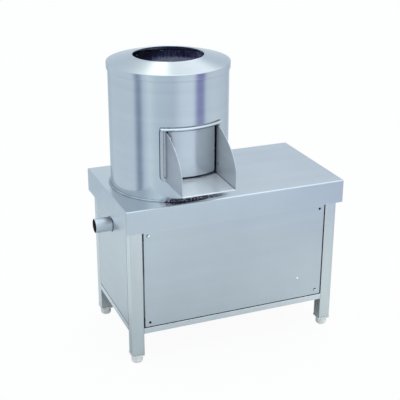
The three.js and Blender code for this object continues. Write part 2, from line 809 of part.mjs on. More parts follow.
// Peeling disc with ridges on top and two wipers below, held by a domed nut
const shaftHole = shaftRadius + fitGap;
const discLow = tableHeight + discUnderside;
const discHigh = discLow + discThickness;
const makeDisc = () => {
  const hub = post(hubRadius, discLow - hubDrop, discLow + discThickness / 2,
    drumX, drumY, turnedFacets);
  const plate = post(discRadius, discLow, discHigh, drumX, drumY, drumFacets);
  const bar = (start, end, width, z, angle) => {
    const shape = new THREE.BoxGeometry(end - start, width, z[1] - z[0]);
    shape.translate((start + end) / 2, 0, (z[0] + z[1]) / 2);
    shape.rotateZ(angle);
    shape.translate(drumX, drumY, 0);
    return solidOf(shape);
  };
  const ridge = (angle) => {
    const crest = new THREE.Shape();
    crest.moveTo(-ridgeWidth / 2, discHigh - discThickness / 2);
    crest.lineTo(ridgeWidth / 2, discHigh - discThickness / 2);
    crest.lineTo(ridgeWidth / 2, discHigh);
    crest.quadraticCurveTo(0, discHigh + 2 * ridgeHeight, -ridgeWidth / 2, discHigh);
    const wave = extruded(crest, discRadius - ridgeEndGap - ridgeStart, arcSteps);
    wave.applyMatrix4(new THREE.Matrix4().makeBasis(
      new THREE.Vector3(0, 1, 0), new THREE.Vector3(0, 0, 1), new THREE.Vector3(1, 0, 0)));
    wave.translate(ridgeStart, 0, 0);
    wave.rotateZ(angle);
    wave.translate(drumX, drumY, 0);
    return solidOf(wave);
  };
  const ridges = Array.from({ length: ridgeCount },
    (_, i) => ridge(Math.PI / 2 + (i * 2 * Math.PI) / ridgeCount));
  const wipers = [0, Math.PI].map((angle) => bar(wiperStart, discRadius - wiperEndGap,
    wiperThickness, [drumFloor + panSheet + wiperPanGap, discLow + discThickness / 2], angle));
  const bore = post(shaftStub + fitGap, discLow - hubDrop - cutOver, discHigh + cutOver,
    drumX, drumY, smallFacets);
  piece('abrasive_disc', cut(joined(plate, hub, ...ridges, ...wipers), bore), grit);

  const nutLow = discHigh + fitGap;
  const domeLow = nutLow + nutHeight * (1 - nutDomeShare);
  const stubTop = discHigh + shaftStubLength;
  const nut = cut(
    turned([
      [0, nutLow], [nutRadius, nutLow], [nutRadius, domeLow],
      [nutRadius * nutDomeShare, nutLow + nutHeight], [0, nutLow + nutHeight],
    ], drumX, drumY, nutSides),
    post(shaftStub + fitGap, nutLow - cutOver, stubTop + fitGap, drumX, drumY, smallFacets));
  piece('disc_nut', nut, darkSteel);
};

// Main shaft, its housing, bearings and seal
const beltZ = tableHeight - beltDrop;
const pulleyLow = beltZ - pulleyHalfWidth;
const pulleyHigh = beltZ + pulleyHalfWidth;
const housingTop = tableUnderside - fitGap;
const makeSpindle = () => {
  const shoulder = discLow - hubDrop - fitGap;
  const stubTop = discHigh + shaftStubLength;
  piece('main_shaft', turned([
    [0, pulleyLow - shaftBelowPulley], [shaftRadius, pulleyLow - shaftBelowPulley],
    [shaftRadius, shoulder], [shaftStub, shoulder], [shaftStub, stubTop], [0, stubTop],
  ], drumX, drumY, smallFacets), darkSteel);

  const neckTop = tableHeight + neckHeight;
  const housingLow = housingTop - housingLength;
  const seatTop = housingTop - housingFlangeThickness;
  const seat = bearingRadius + fitGap;
  piece('bearing_housing', turned([
    [seat, housingLow], [housingRadius, housingLow], [housingRadius, seatTop],
    [housingFlange, seatTop], [housingFlange, housingTop], [neckRadius, housingTop],
    [neckRadius, neckTop], [neckBore, neckTop], [neckBore, seatTop], [seat, seatTop],
  ], drumX, drumY, turnedFacets), castIron);

  const bearing = (name, low) => piece(name, ring(shaftHole, bearingRadius, low,
    low + bearingWidth, drumX, drumY, turnedFacets), darkSteel);
  bearing('upper_bearing', seatTop - fitGap - bearingWidth);
  bearing('lower_bearing', housingLow + bearingInset);
  piece('shaft_seal', ring(shaftHole, neckBore - fitGap, neckTop - sealInset - sealHeight,
    neckTop - sealInset, drumX, drumY, turnedFacets), rubber);
};

// Pulleys with a V groove, and the belt that lies in both grooves
const beltFloor = beltThickness / 2;
const grooveHalf = beltHeight / 2 + fitGap;
const pulleyOutline = (pitch) => {
  const floor = pitch - beltFloor - fitGap;
  const rim = pitch + pulleyFlange;
  return [
    [rim, pulleyLow], [rim, beltZ - grooveHalf - grooveFlare], [floor, beltZ - grooveHalf],
    [floor, beltZ + grooveHalf], [rim, beltZ + grooveHalf + grooveFlare], [rim, pulleyHigh],
  ];
};
const makeBeltDrive = () => {
  const webLow = beltZ - drivenWebThickness / 2;
  const webHigh = beltZ + drivenWebThickness / 2;
  const rimInner = drivenPitch - drivenRim;
  piece('driven_pulley', turned([
    [shaftHole, pulleyLow], [drivenHub, pulleyLow], [drivenHub, webLow], [rimInner, webLow],
    [rimInner, pulleyLow], ...pulleyOutline(drivenPitch), [rimInner, pulleyHigh],
    [rimInner, webHigh], [drivenHub, webHigh], [drivenHub, pulleyHigh], [shaftHole, pulleyHigh],
  ], drumX, drumY, turnedFacets), castIron);
  piece('motor_pulley', turned([
    [motorShaft + fitGap, pulleyLow], ...pulleyOutline(motorPitch),
    [motorShaft + fitGap, pulleyHigh],
  ], motorX, drumY, turnedFacets), castIron);

  const loop = (Outline, offset) => {
    const big = drivenPitch + offset;
    const small = motorPitch + offset;
    const lean = Math.acos((big - small) / (motorX - drumX));
    const outline = new Outline();
    outline.absarc(drumX, drumY, big, lean, 2 * Math.PI - lean, false);
    outline.absarc(motorX, drumY, small, -lean, lean, false);
    return outline;
  };
  const belt = loop(THREE.Shape, beltThickness / 2);
  belt.holes.push(loop(THREE.Path, -beltThickness / 2));
  piece('drive_belt', pushedZ(belt, beltZ - beltHeight / 2, beltZ + beltHeight / 2,
    smallFacets), rubber);
};

// Motor bracket: a folded hat that hangs under the table
const bracketPlateHigh = pulleyLow - bracketPulleyGap;
const bracketPlateLow = bracketPlateHigh - bracketSheet;
const makeBracket = () => {
  const inner = bracketInsideWidth / 2;
  const outer = inner + bracketSheet;
  const top = tableUnderside - fitGap;
  const right = [
    [inner, bracketPlateHigh], [inner, top], [outer + bracketFlange, top],
    [outer + bracketFlange, top - bracketSheet], [outer, top - bracketSheet],
    [outer, bracketPlateLow],
  ];
  const left = right.map(([y, z]) => [-y, z]).reverse();
  const hat = new THREE.Shape();
  [...left, ...right].forEach(([y, z], i) => {
    if (i === 0) {
      hat.moveTo(drumY + y, z);
    } else {
      hat.lineTo(drumY + y, z);
    }
  });
  piece('motor_bracket', cut(
    pushedX(hat, motorX - bracketLength / 2, motorX + bracketLength / 2),
    post(bracketHole, bracketPlateLow - cutOver, bracketPlateHigh + cutOver,
      motorX, drumY, turnedFacets)), steel);
};

// Motor: finned body with a flange, shaft, fan, fan cover and terminal box
const motorTop = bracketPlateLow - fitGap;
const motorLow = motorTop - motorFlangeThickness - motorLength;
const terminalX = motorX + motorRadius + fitGap;
const terminalZ = motorTop - motorFlangeThickness - motorLength / 3;
const makeMotor = () => {
  const root = motorRadius - motorFinDepth;
  const fins = new THREE.Shape();
  for (let i = 0; i < motorFinCount; i += 1) {
    const pitch = (2 * Math.PI) / motorFinCount;
    const half = (pitch * motorFinShare) / 2;
    [[root, -pitch + half], [root, -half], [motorRadius, -half], [motorRadius, half]].forEach(
      ([radius, turn], corner) => {
        const angle = i * pitch + turn;
        const x = motorX + radius * Math.cos(angle);
        const y = drumY + radius * Math.sin(angle);
        if (i === 0 && corner === 0) {
          fins.moveTo(x, y);
        } else {
          fins.lineTo(x, y);
        }
      });
  }
  const bodyTop = motorTop - motorFlangeThickness;
  piece('motor_body', cut(
    joined(
      pushedZ(fins, motorLow, bodyTop + motorFlangeThickness / 2),
      post(motorFlange, bodyTop, motorTop, motorX, drumY, turnedFacets)),
    post(motorShaft + fitGap, motorLow - cutOver, motorTop + cutOver,
      motorX, drumY, smallFacets)), motorPaint);
  piece('motor_shaft', post(motorShaft, motorLow - motorShaftBelow, pulleyHigh,
    motorX, drumY, smallFacets), darkSteel);

  const fanHigh = motorLow - fitGap - (motorShaftBelow - fanHeight) / 2;
  const fanLow = fanHigh - fanHeight;
  const blades = Array.from({ length: fanBladeCount / 2 }, (_, i) => {
    const blade = new THREE.BoxGeometry(2 * fanRadius, fanBladeThickness, fanHeight);
    blade.rotateZ((i * 2 * Math.PI) / fanBladeCount);
    blade.translate(motorX, drumY, (fanLow + fanHigh) / 2);
    return solidOf(blade);
  });
  piece('motor_fan', cut(
    joined(post(fanHub, fanLow, fanHigh, motorX, drumY, smallFacets), ...blades),
    post(motorShaft + fitGap, fanLow - cutOver, fanHigh + cutOver, motorX, drumY, smallFacets)),
  greyPlastic);

  const coverTop = motorLow - fitGap;
  const coverLow = coverTop - fanCoverLength;
  piece('fan_cover', turned([
    [fanCoverHole, coverLow], [root, coverLow], [root, coverTop],
    [root - fanCoverSheet, coverTop], [root - fanCoverSheet, coverLow + fanCoverSheet],
    [fanCoverHole, coverLow + fanCoverSheet],
  ], motorX, drumY, turnedFacets), motorPaint);

  piece('terminal_box', block(
    [terminalX, terminalX + terminalBoxDepth],
    [drumY - terminalBoxWidth / 2, drumY + terminalBoxWidth / 2],
    [terminalZ - terminalBoxHeight / 2, terminalZ + terminalBoxHeight / 2]), greyPlastic);
};

// A round tube along a path
const circleShape = (radius) => {
  const circle = new THREE.Shape();
  circle.absarc(0, 0, radius, 0, 2 * Math.PI, false);
  return circle;
};
const tubeAlong = (path, radius, sides, steps) => {
  const tube = new THREE.ExtrudeGeometry(circleShape(radius), {
    steps, extrudePath: path, bevelEnabled: false, curveSegments: sides / 2,
  });
  return solidOf(tube);
};

// Drain pipe: down from the pan's outlet, round a bend and out to the left
const makeDrainPipe = () => {
  const top = tableUnderside - fitGap;
  const down = (over) => {
    const path = new THREE.CurvePath();
    path.add(new THREE.LineCurve3(
      new THREE.Vector3(outletX, drumY, top + over),
      new THREE.Vector3(outletX, drumY, pipeZ + pipeBend)));
    path.add(new THREE.QuadraticBezierCurve3(
      new THREE.Vector3(outletX, drumY, pipeZ + pipeBend),
      new THREE.Vector3(outletX, drumY, pipeZ),
      new THREE.Vector3(outletX - pipeBend, drumY, pipeZ)));
    path.add(new THREE.LineCurve3(
      new THREE.Vector3(outletX - pipeBend, drumY, pipeZ),
      new THREE.Vector3(-pipeMouth - over, drumY, pipeZ)));
    return path;
  };
  const pipe = cut(
    tubeAlong(down(0), pipeRadius, pipeFacets, bendSteps),
    tubeAlong(down(cutOver), pipeRadius - pipeWall, pipeFacets, bendSteps));
  piece('drain_pipe', pipe, steel);
};

// Push buttons on a plate outside the right panel, with the switch box behind it
const plateLowX = legFaceX + fitGap;
const plateHighX = plateLowX + buttonPlateSheet;
const switchBoxHigh = legFaceX - panelSheet - fitGap;
const makeButtons = () => {
  const stemBore = buttonStem + fitGap;
  const plate = pushedX(roundedRectangle(
    buttonY - buttonPlateWidth / 2, buttonY + buttonPlateWidth / 2,
    buttonZ - buttonPlateHeight / 2, buttonZ + buttonPlateHeight / 2, buttonPlateCorner),
  plateLowX, plateHighX);
  piece('button_plate', cut(plate, ...buttonPlaces.map(([, y, z]) => rodX(
    stemBore, plateLowX - cutOver, plateHighX + cutOver, y, z, smallFacets))), darkSteel);

  const stemEnd = switchBoxHigh - stemReach;
  piece('switch_box', cut(
    block([switchBoxHigh - switchBoxDepth, switchBoxHigh],
      [buttonY - switchBoxWidth / 2, buttonY + switchBoxWidth / 2],
      [buttonZ - switchBoxHeight / 2, buttonZ + switchBoxHeight / 2]),
    ...buttonPlaces.map(([, y, z]) => rodX(stemBore, stemEnd - buttonTravel - fitGap,
      switchBoxHigh + cutOver, y, z, smallFacets))), greyPlastic);

  const capLow = plateHighX + buttonTravel + fitGap;
  const capHigh = capLow + buttonCapHeight;
  buttonPlaces.forEach(([name, y, z, material]) => {
    piece(name, alongX([
      [0, stemEnd], [buttonStem, stemEnd], [buttonStem, capLow], [buttonCap, capLow],
      [buttonCap, capHigh - buttonCapHeight / 4],
      [buttonCap - buttonCapHeight / 4, capHigh], [0, capHigh],
    ], y, z, smallFacets), material);
  });
};

// Cable gland in the rear panel; no cable is fitted
const makeGland = () => {
  const face = legFaceY + fitGap;
  const nutHigh = face + glandNutThickness;
  const domeHigh = nutHigh + glandDomeLength;
  piece('cable_gland', alongY([
    [glandBore, face - glandThreadLength], [glandBore, domeHigh],
    [glandDome - (glandDome - glandBore) / 2, domeHigh], [glandDome, nutHigh + glandDomeLength / 2],
    [glandDome, nutHigh], [glandNut, nutHigh], [glandNut, face], [glandThread, face],
    [glandThread, face - glandThreadLength],
  ].reverse(), glandX, glandZ, smallFacets), greyPlastic);
};

// Lead from the switch box down to the motor's terminal box
const makeLead = () => {
  const from = new THREE.Vector3(switchBoxHigh - switchBoxDepth - fitGap, buttonY, buttonZ);
  const to = new THREE.Vector3(terminalX + terminalBoxDepth + fitGap, drumY, terminalZ);
  const lead = new THREE.CubicBezierCurve3(
    from, new THREE.Vector3(from.x - leadReach, from.y, from.z),
    new THREE.Vector3(to.x + leadReach, to.y, to.z), to);
  piece('motor_lead', tubeAlong(lead, leadRadius, leadFacets, bendSteps), rubber);
};

makeTableTop();
legCorners.forEach(([name, sideX, sideY]) => makeLeg(name, sideX, sideY));
makeRails();
makePanels();
makeScrews();
legCorners.forEach(([name, sideX, sideY]) => makeFoot(name, sideX, sideY));
makeDrum();
makeLid();
makeChuteFloor();
makeWing('chute_left_wing', -1);
makeWing('chute_right_wing', 1);
makeLintel();
makeDoor();
makeBolt();
makeDisc();
makeSpindle();
makeBeltDrive();
makeBracket();
makeMotor();
makeDrainPipe();
makeButtons();
makeGland();
makeLead();

// The whole part, moved so that its middle is over the origin
const potatoPeeler = new THREE.Group();
const lowX = -pipeMouth;
const highX = Math.max(tableWidth / 2, plateHighX + buttonTravel + fitGap + buttonCapHeight);
const lowY = lipY;
const highY = tableDepth / 2;
assembly.position.set(-(lowX + highX) / 2, -(lowY + highY) / 2, 0);
potatoPeeler.add(assembly);

export default potatoPeeler;
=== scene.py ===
# %% [markdown]
# # A stainless steel potato peeler
# The machine is a drum with a rough lining, on a steel table whose closed lower part holds the
# motor and the belt. The solid model of it is loaded first as a fixed frame. Each cell then
# models one visible piece over its solid, or gives a solid its finish.

import math

import bmesh
import bpy
from mathutils import Matrix, Vector


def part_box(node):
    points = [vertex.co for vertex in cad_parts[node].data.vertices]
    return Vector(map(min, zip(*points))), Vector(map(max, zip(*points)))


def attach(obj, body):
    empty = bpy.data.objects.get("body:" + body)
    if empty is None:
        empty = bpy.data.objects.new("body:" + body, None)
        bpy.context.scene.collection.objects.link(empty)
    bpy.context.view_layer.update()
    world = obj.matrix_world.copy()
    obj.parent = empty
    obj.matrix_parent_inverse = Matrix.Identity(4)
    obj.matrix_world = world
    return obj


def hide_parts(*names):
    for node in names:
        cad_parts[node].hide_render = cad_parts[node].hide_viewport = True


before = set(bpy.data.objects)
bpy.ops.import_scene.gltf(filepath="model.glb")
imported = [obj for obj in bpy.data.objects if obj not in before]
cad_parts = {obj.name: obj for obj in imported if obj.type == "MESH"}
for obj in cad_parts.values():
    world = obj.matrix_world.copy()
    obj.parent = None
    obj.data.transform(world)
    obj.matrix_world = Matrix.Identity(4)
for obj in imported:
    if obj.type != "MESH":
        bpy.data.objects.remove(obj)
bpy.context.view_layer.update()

# %% [markdown]
# ## Camera
# The photograph looks down on the machine from its front left. Its long, straight-sided look
# means a lens of about 83 mm from three metres away. The camera's axes are worked out from
# its azimuth, elevation and roll, and written into its matrix.

# %% Camera
camera_place = Vector((-1.1262, -2.6200, 1.6355))
azimuth, elevation, roll = (math.radians(angle) for angle in (-22.32, 22.11, 0.23))
lens, sensor_width = 82.8, 36
ahead = Vector((-math.sin(azimuth) * math.cos(elevation),
                math.cos(azimuth) * math.cos(elevation), -math.sin(elevation)))
level = ahead.cross(Vector((0, 0, 1))).normalized()
aloft = level.cross(ahead)
side = level * math.cos(roll) + aloft * math.sin(roll)
rise = aloft * math.cos(roll) - level * math.sin(roll)

bpy.ops.object.select_all(action="DESELECT")
bpy.ops.object.camera_add()
camera = bpy.context.object
camera.data.lens, camera.data.sensor_width = lens, sensor_width
turn = Matrix((side, rise, -ahead)).transposed().to_4x4()
camera.matrix_world = Matrix.Translation(camera_place) @ turn
bpy.context.scene.camera = camera
bpy.context.scene.view_settings.view_transform = "Standard"
print("camera at", tuple(round(v, 3) for v in camera_place))

# %% [markdown]
# ## Materials
# Every finish is a small tree of shader nodes. One function turns the hex colours of a paint
# card into Blender's linear values, and one adds a node with its settings and links. A Mix
# node's sockets go by number: 0 is the factor, 2 and 3 take numbers, and 6 and 7 take colours,
# whose result is output 2.

# %% Colour and node helpers
def linear(hex_code):
    """A hex colour as a linear colour with alpha."""
    parts = [int(hex_code[i:i + 2], 16) / 255 for i in (1, 3, 5)]
    return tuple(c / 12.92 if c < 0.04045 else ((c + 0.055) / 1.055) ** 2.4
                 for c in parts) + (1.0,)


def node(tree, kind, settings=None, stops=()):
    """Adds a node. A setting is an attribute, a socket's own value or, where the value is an
    output of another node, a link to that socket. Stops are the places and linear colours of
    a colour ramp, from the lowest place up."""
    new = tree.nodes.new("ShaderNode" + kind)
    for name, value in (settings or {}).items():
        if isinstance(value, bpy.types.NodeSocket):
            tree.links.new(value, new.inputs[name])
        elif isinstance(name, str) and hasattr(new, name):
            setattr(new, name, value)
        else:
            new.inputs[name].default_value = value
    if stops:
        elements = new.color_ramp.elements
        elements[0].position, elements[1].position = stops[0][0], stops[-1][0]
        for place, colour in stops[1:-1]:
            elements.new(place)
        for element, (place, colour) in zip(elements, stops):
            element.color = colour
    return new


def object_pattern(tree, per_metre=(1, 1, 1)):
    """Object coordinates scaled to so many pattern cells per metre along X, Y and Z."""
    place = node(tree, "TexCoord").outputs["Object"]
    return node(tree, "Mapping", {"Scale": per_metre, "Vector": place}).outputs[0]


def new_material(name):
    """A material with an empty Principled shader, and its node tree."""
    material = bpy.data.materials.new(name)
    material.use_nodes = True
    return material, material.node_tree, material.node_tree.nodes["Principled BSDF"]

# %% [markdown]
# Sharp edges of the metal are rubbed bright by use, and corners and gaps get painted shade. Both
# are found from the shape itself. Where the surface normal changes when it is averaged over a
# small radius, there is an edge. Where little light gets in, the colour is darkened as painted
# shade.

# %% Wear and painted shade
mm = 0.001


def edge_share(tree, radius):
    """Goes to 1 near sharp edges."""
    averaged = node(tree, "Bevel", {"samples": 4, "Radius": radius}).outputs[0]
    face = node(tree, "NewGeometry").outputs["Normal"]
    agree = node(tree, "VectorMath", {"operation": "DOT_PRODUCT", 0: averaged, 1: face})
    return node(tree, "MapRange", {"From Min": 0.98, "From Max": 0.85,
                                   "Value": agree.outputs["Value"]}).outputs[0]


def crevice_shade_share(tree, reach, shallow):
    """Goes to 1 deep in corners and gaps, for painted shade; an openness over the shallow value
    gets no painted shade.
    """
    openness = node(tree, "AmbientOcclusion", {"samples": 6, "Distance": reach}).outputs["AO"]
    return node(tree, "MapRange", {"From Min": 0.4, "From Max": shallow, "To Min": 1.0,
                                   "To Max": 0.0, "Value": openness}).outputs[0]

# %% [markdown]
# Stainless steel sheet, 304 grade, with a satin finish. The mill's belt leaves fine lines along
# one direction, 0.1 mm apart. Here they are 4.5 mm apart on rolled and drawn pieces and 13 mm on
# the large flat sheets, and they change only tone and roughness, because lines or relief finer
# than a pixel break up into false patterns. Broader streaks, a few centimetres apart, vary both
# a little, as handling does. Under the table's skirt, the panels and legs get a dark line of
# painted shadow.

# %% Stainless steel
# The painted shadow line under the skirt: where it starts and ends below the skirt, and how dark it
# gets.
shadow_line_top, shadow_line_foot, shadow_line_darkness = 2.0 * mm, 3.4 * mm, 0.5
worn_width = 1.2 * mm


def stainless(name, lines, streaks, colour="#CDD3D7", dull="#C6CCD1", rough=(0.20, 0.26),
              metallic=1.0, reach=6 * mm, shallow=0.82, fine_share=0.12, shadow_line_z=None):
    """Satin steel with so many lines and streaks per metre along X, Y and Z, with painted shade in
    its corners and, where a height is given, a painted shadow line below it.
    """
    material, tree, shader = new_material(name)
    fine = node(tree, "TexNoise", {"Scale": 1.0, "Detail": 0.0,
                                   "Vector": object_pattern(tree, lines)}).outputs[0]
    broad = node(tree, "TexNoise", {"Scale": 1.0, "Detail": 1.0, "Roughness": 0.4,
                                    "Vector": object_pattern(tree, streaks)}).outputs[0]
    cloud = node(tree, "TexNoise", {"Scale": 3.0, "Detail": 3.0,
                                    "Vector": object_pattern(tree)}).outputs[0]
    both = node(tree, "Mix", {"data_type": "FLOAT", 0: 0.7, 2: broad, 3: cloud}).outputs[0]
    lined = node(tree, "Mix", {"data_type": "FLOAT", 0: fine_share, 2: both, 3: fine}).outputs[0]
    tone = node(tree, "ValToRGB", {0: lined},
                [(0.38, linear(dull)), (0.60, linear(colour))]).outputs[0]
    worn = node(tree, "Mix", {"data_type": "RGBA", 0: edge_share(tree, worn_width), 6: tone,
                              7: linear("#EEEFEE")}).outputs[2]
    # Painted shade: corners and gaps are darkened toward a dark blue-grey.
    crevice_shade = crevice_shade_share(tree, reach, shallow)
    # Painted shadow: a dark band just below the skirt's height.
    if shadow_line_z is not None:
        z = node(tree, "SeparateXYZ", {0: object_pattern(tree)}).outputs["Z"]
        shadow_line = node(tree, "MapRange", {"From Min": shadow_line_z - shadow_line_foot,
                                        "From Max": shadow_line_z - shadow_line_top,
                                        "To Max": shadow_line_darkness, "Value": z}).outputs[0]
        crevice_shade = node(tree, "Math", {"operation": "MAXIMUM", 0: crevice_shade, 1: shadow_line}).outputs[0]
    # Mixes the painted shade and the painted shadow line into the colour.
    shaded_tone = node(tree, "Mix", {"data_type": "RGBA", 0: crevice_shade, 6: worn,
                               7: linear("#262A3A")}).outputs[2]
    roughness = node(tree, "MapRange", {"From Min": 0.35, "From Max": 0.65, "To Min": rough[0],
                                        "To Max": rough[1], "Value": lined}).outputs[0]
    tree.links.new(shaded_tone, shader.inputs["Base Color"])
    tree.links.new(roughness, shader.inputs["Roughness"])
    shader.inputs["Metallic"].default_value = metallic
    return material


skirt_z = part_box("table_top")[0][2]
steel_round = stainless("satin_stainless_around", (2, 2, 220), (1, 1, 45), rough=(0.13, 0.18))
steel_top = stainless("satin_stainless_along_table", (1, 75, 1), (1.2, 20, 1.2),
                      rough=(0.28, 0.3), fine_share=0.08)
steel_side = stainless("satin_stainless_along_panel", (1, 1, 75), (1.2, 1.2, 20),
                       rough=(0.28, 0.3), shallow=0.9, fine_share=0.08, shadow_line_z=skirt_z)
steel_leg = stainless("satin_stainless_tube_upright", (220, 220, 2), (60, 60, 1.5),
                      colour="#DBDEDE", dull="#D1D6D8", shallow=0.93, shadow_line_z=skirt_z)
steel_rail_x = stainless("satin_stainless_tube_along_x", (2, 220, 220), (1.5, 60, 60),
                         colour="#E3E6E8", dull="#DADEE1")
steel_rail_y = stainless("satin_stainless_tube_along_y", (220, 2, 220), (60, 1.5, 60),
                         colour="#E3E6E8", dull="#DADEE1")
print(len(bpy.data.materials), "materials so far")

# %% [markdown]
# Where potatoes and hands rub, the steel is scoured: rougher, greyer and less like a mirror. A
# lower metallic value stands for the film of starch on it. The door is polished by every batch
# that slides past, the drain pipe is dulled by the water, and the screws are bright.

# %% Worn stainless steel
steel_chute = stainless("scoured_stainless_of_chute", (220, 2, 2), (45, 1.2, 1.2),
                        colour="#DEE1E3", dull="#D4D8DB", rough=(0.2, 0.27), metallic=0.3)
steel_inner = stainless("scoured_stainless_of_wings", (2, 2, 220), (1.2, 1.2, 45),
                        colour="#C6C9CD", dull="#BEC1C6", rough=(0.34, 0.42), metallic=0.5)
steel_wing = stainless("satin_stainless_of_wings", (2, 2, 220), (1.2, 1.2, 45),
                       colour="#C3C6CB", dull="#BBBFC4", rough=(0.34, 0.42), metallic=0.85)
steel_door = stainless("polished_stainless_of_door", (2, 2, 220), (1, 1, 45),
                       colour="#CDD2D6", dull="#C6CBD0", rough=(0.13, 0.18), metallic=0.72)
steel_pipe = stainless("satin_stainless_pipe", (2, 220, 220), (2, 60, 60), colour="#D6DBDF",
                       dull="#CBD1D6", rough=(0.36, 0.44), metallic=0.7, reach=4 * mm)
steel_screw = stainless("bright_stainless_screws", (300, 300, 300), (60, 60, 60),
                        colour="#E2E5E7", dull="#D2D6D9", rough=(0.08, 0.14), reach=2.5 * mm)
print(len(bpy.data.materials), "materials so far")

# %% [markdown]
# The other finishes: turned steel, as it comes from the lathe; moulded nylon 6, which is milky
# and slightly soft to light; nitrile rubber; cast iron; grey machine enamel; ABS buttons; a dark
# colour for strips that paint the shadow in the gaps round the chute and round the drain pipe's
# root; and a nearly black finish that paints deep shade. Their speckle is drawn 1.4 to 3.3 mm
# wide, coarser than the real grain, because finer wouldn't show.

# %% Other finishes
def speckled(name, colours, per_metre, rough, metallic=0.0, bump=0.1, stretch=(1, 1, 1)):
    """A finish with an all-over fine variation of tone, roughness and height."""
    material, tree, shader = new_material(name)
    cells = object_pattern(tree, tuple(per_metre * s for s in stretch))
    fine = node(tree, "TexNoise", {"Scale": 1.0, "Detail": 4.0, "Vector": cells}).outputs[0]
    wide = node(tree, "TexNoise", {"Scale": 0.08, "Detail": 3.0, "Vector": cells}).outputs[0]
    both = node(tree, "Mix", {"data_type": "FLOAT", 0: 0.5, 2: fine, 3: wide}).outputs[0]
    tone = node(tree, "ValToRGB", {0: both},
                [(0.38, linear(colours[0])), (0.62, linear(colours[1]))]).outputs[0]
    roughness = node(tree, "MapRange", {"From Min": 0.3, "From Max": 0.7, "To Min": rough[0],
                                        "To Max": rough[1], "Value": both}).outputs[0]
    relief = node(tree, "Bump", {"Strength": bump, "Distance": 0.3 * mm, "Height": fine})
    tree.links.new(tone, shader.inputs["Base Color"])
    tree.links.new(roughness, shader.inputs["Roughness"])
    tree.links.new(relief.outputs[0], shader.inputs["Normal"])
    shader.inputs["Metallic"].default_value = metallic
    return material


turned_steel = speckled("turned_steel", ("#8E969D", "#A9B1B8"), 300, (0.28, 0.42), 1.0,
                        stretch=(1, 1, 6))
zinc_steel = speckled("zinc_plated_steel", ("#C3C9CC", "#DDE1E2"), 400, (0.18, 0.3), 1.0)
zinc_weld = speckled("ground_weld", ("#99A2AA", "#BAC1C7"), 400, (0.3, 0.42), 1.0)
nylon = speckled("moulded_white_nylon", ("#DAD7D2", "#E8E5E0"), 500, (0.38, 0.55), bump=0.05)
milky = nylon.node_tree.nodes["Principled BSDF"].inputs
milky["Subsurface Weight"].default_value = 0.15
milky["Subsurface Radius"].default_value = (4 * mm, 4 * mm, 3.5 * mm)
rubber = speckled("nitrile_rubber", ("#17181A", "#26272A"), 600, (0.6, 0.8))
iron = speckled("cast_iron", ("#4A4E52", "#63676B"), 700, (0.45, 0.65), 0.8, bump=0.5)
enamel = speckled("grey_machine_enamel", ("#5A666F", "#67737C"), 500, (0.3, 0.45), bump=0.15)
green_abs = speckled("green_abs", ("#15803A", "#1D9447"), 500, (0.25, 0.38), bump=0.04)
red_abs = speckled("red_abs", ("#A31B18", "#BE2A24"), 500, (0.25, 0.38), bump=0.04)
grey_abs = speckled("grey_abs", ("#43494F", "#50565C"), 500, (0.45, 0.6), bump=0.1)
# A dark colour for strips that paint shadow in gaps.
shadow_strip = speckled("dark_painted_shadow_strip", ("#2B2F3D", "#3B4050"), 600, (0.5, 0.65))
# A nearly black finish that paints deep shade.
black_shade = speckled("dark_painted_shade", ("#12141C", "#20232D"), 400, (0.5, 0.7))
print(len(bpy.data.materials), "materials so far")

# %% [markdown]
# The drum is lined with corundum grit in dark resin: round grains about 3 mm across, a few of
# which are painted near white as glints. Upright runs and patches vary its tone. The lining is
# painted paler where light falls on it, most on the upper part of its right side and less under
# the lid. The grains are a Voronoi pattern, which also gives their relief. The painted light goes
# by height, as a share at so many millimetres, and across by X.

# %% Corundum grit
# Painted light on the lining: its share at heights in millimetres, and where it starts and is full
# across X.
lit_band_heights = ((790, 0), (860, 1), (906, 1), (924, 0.3))
lit_none_x, lit_full_x = -230 * mm, -50 * mm


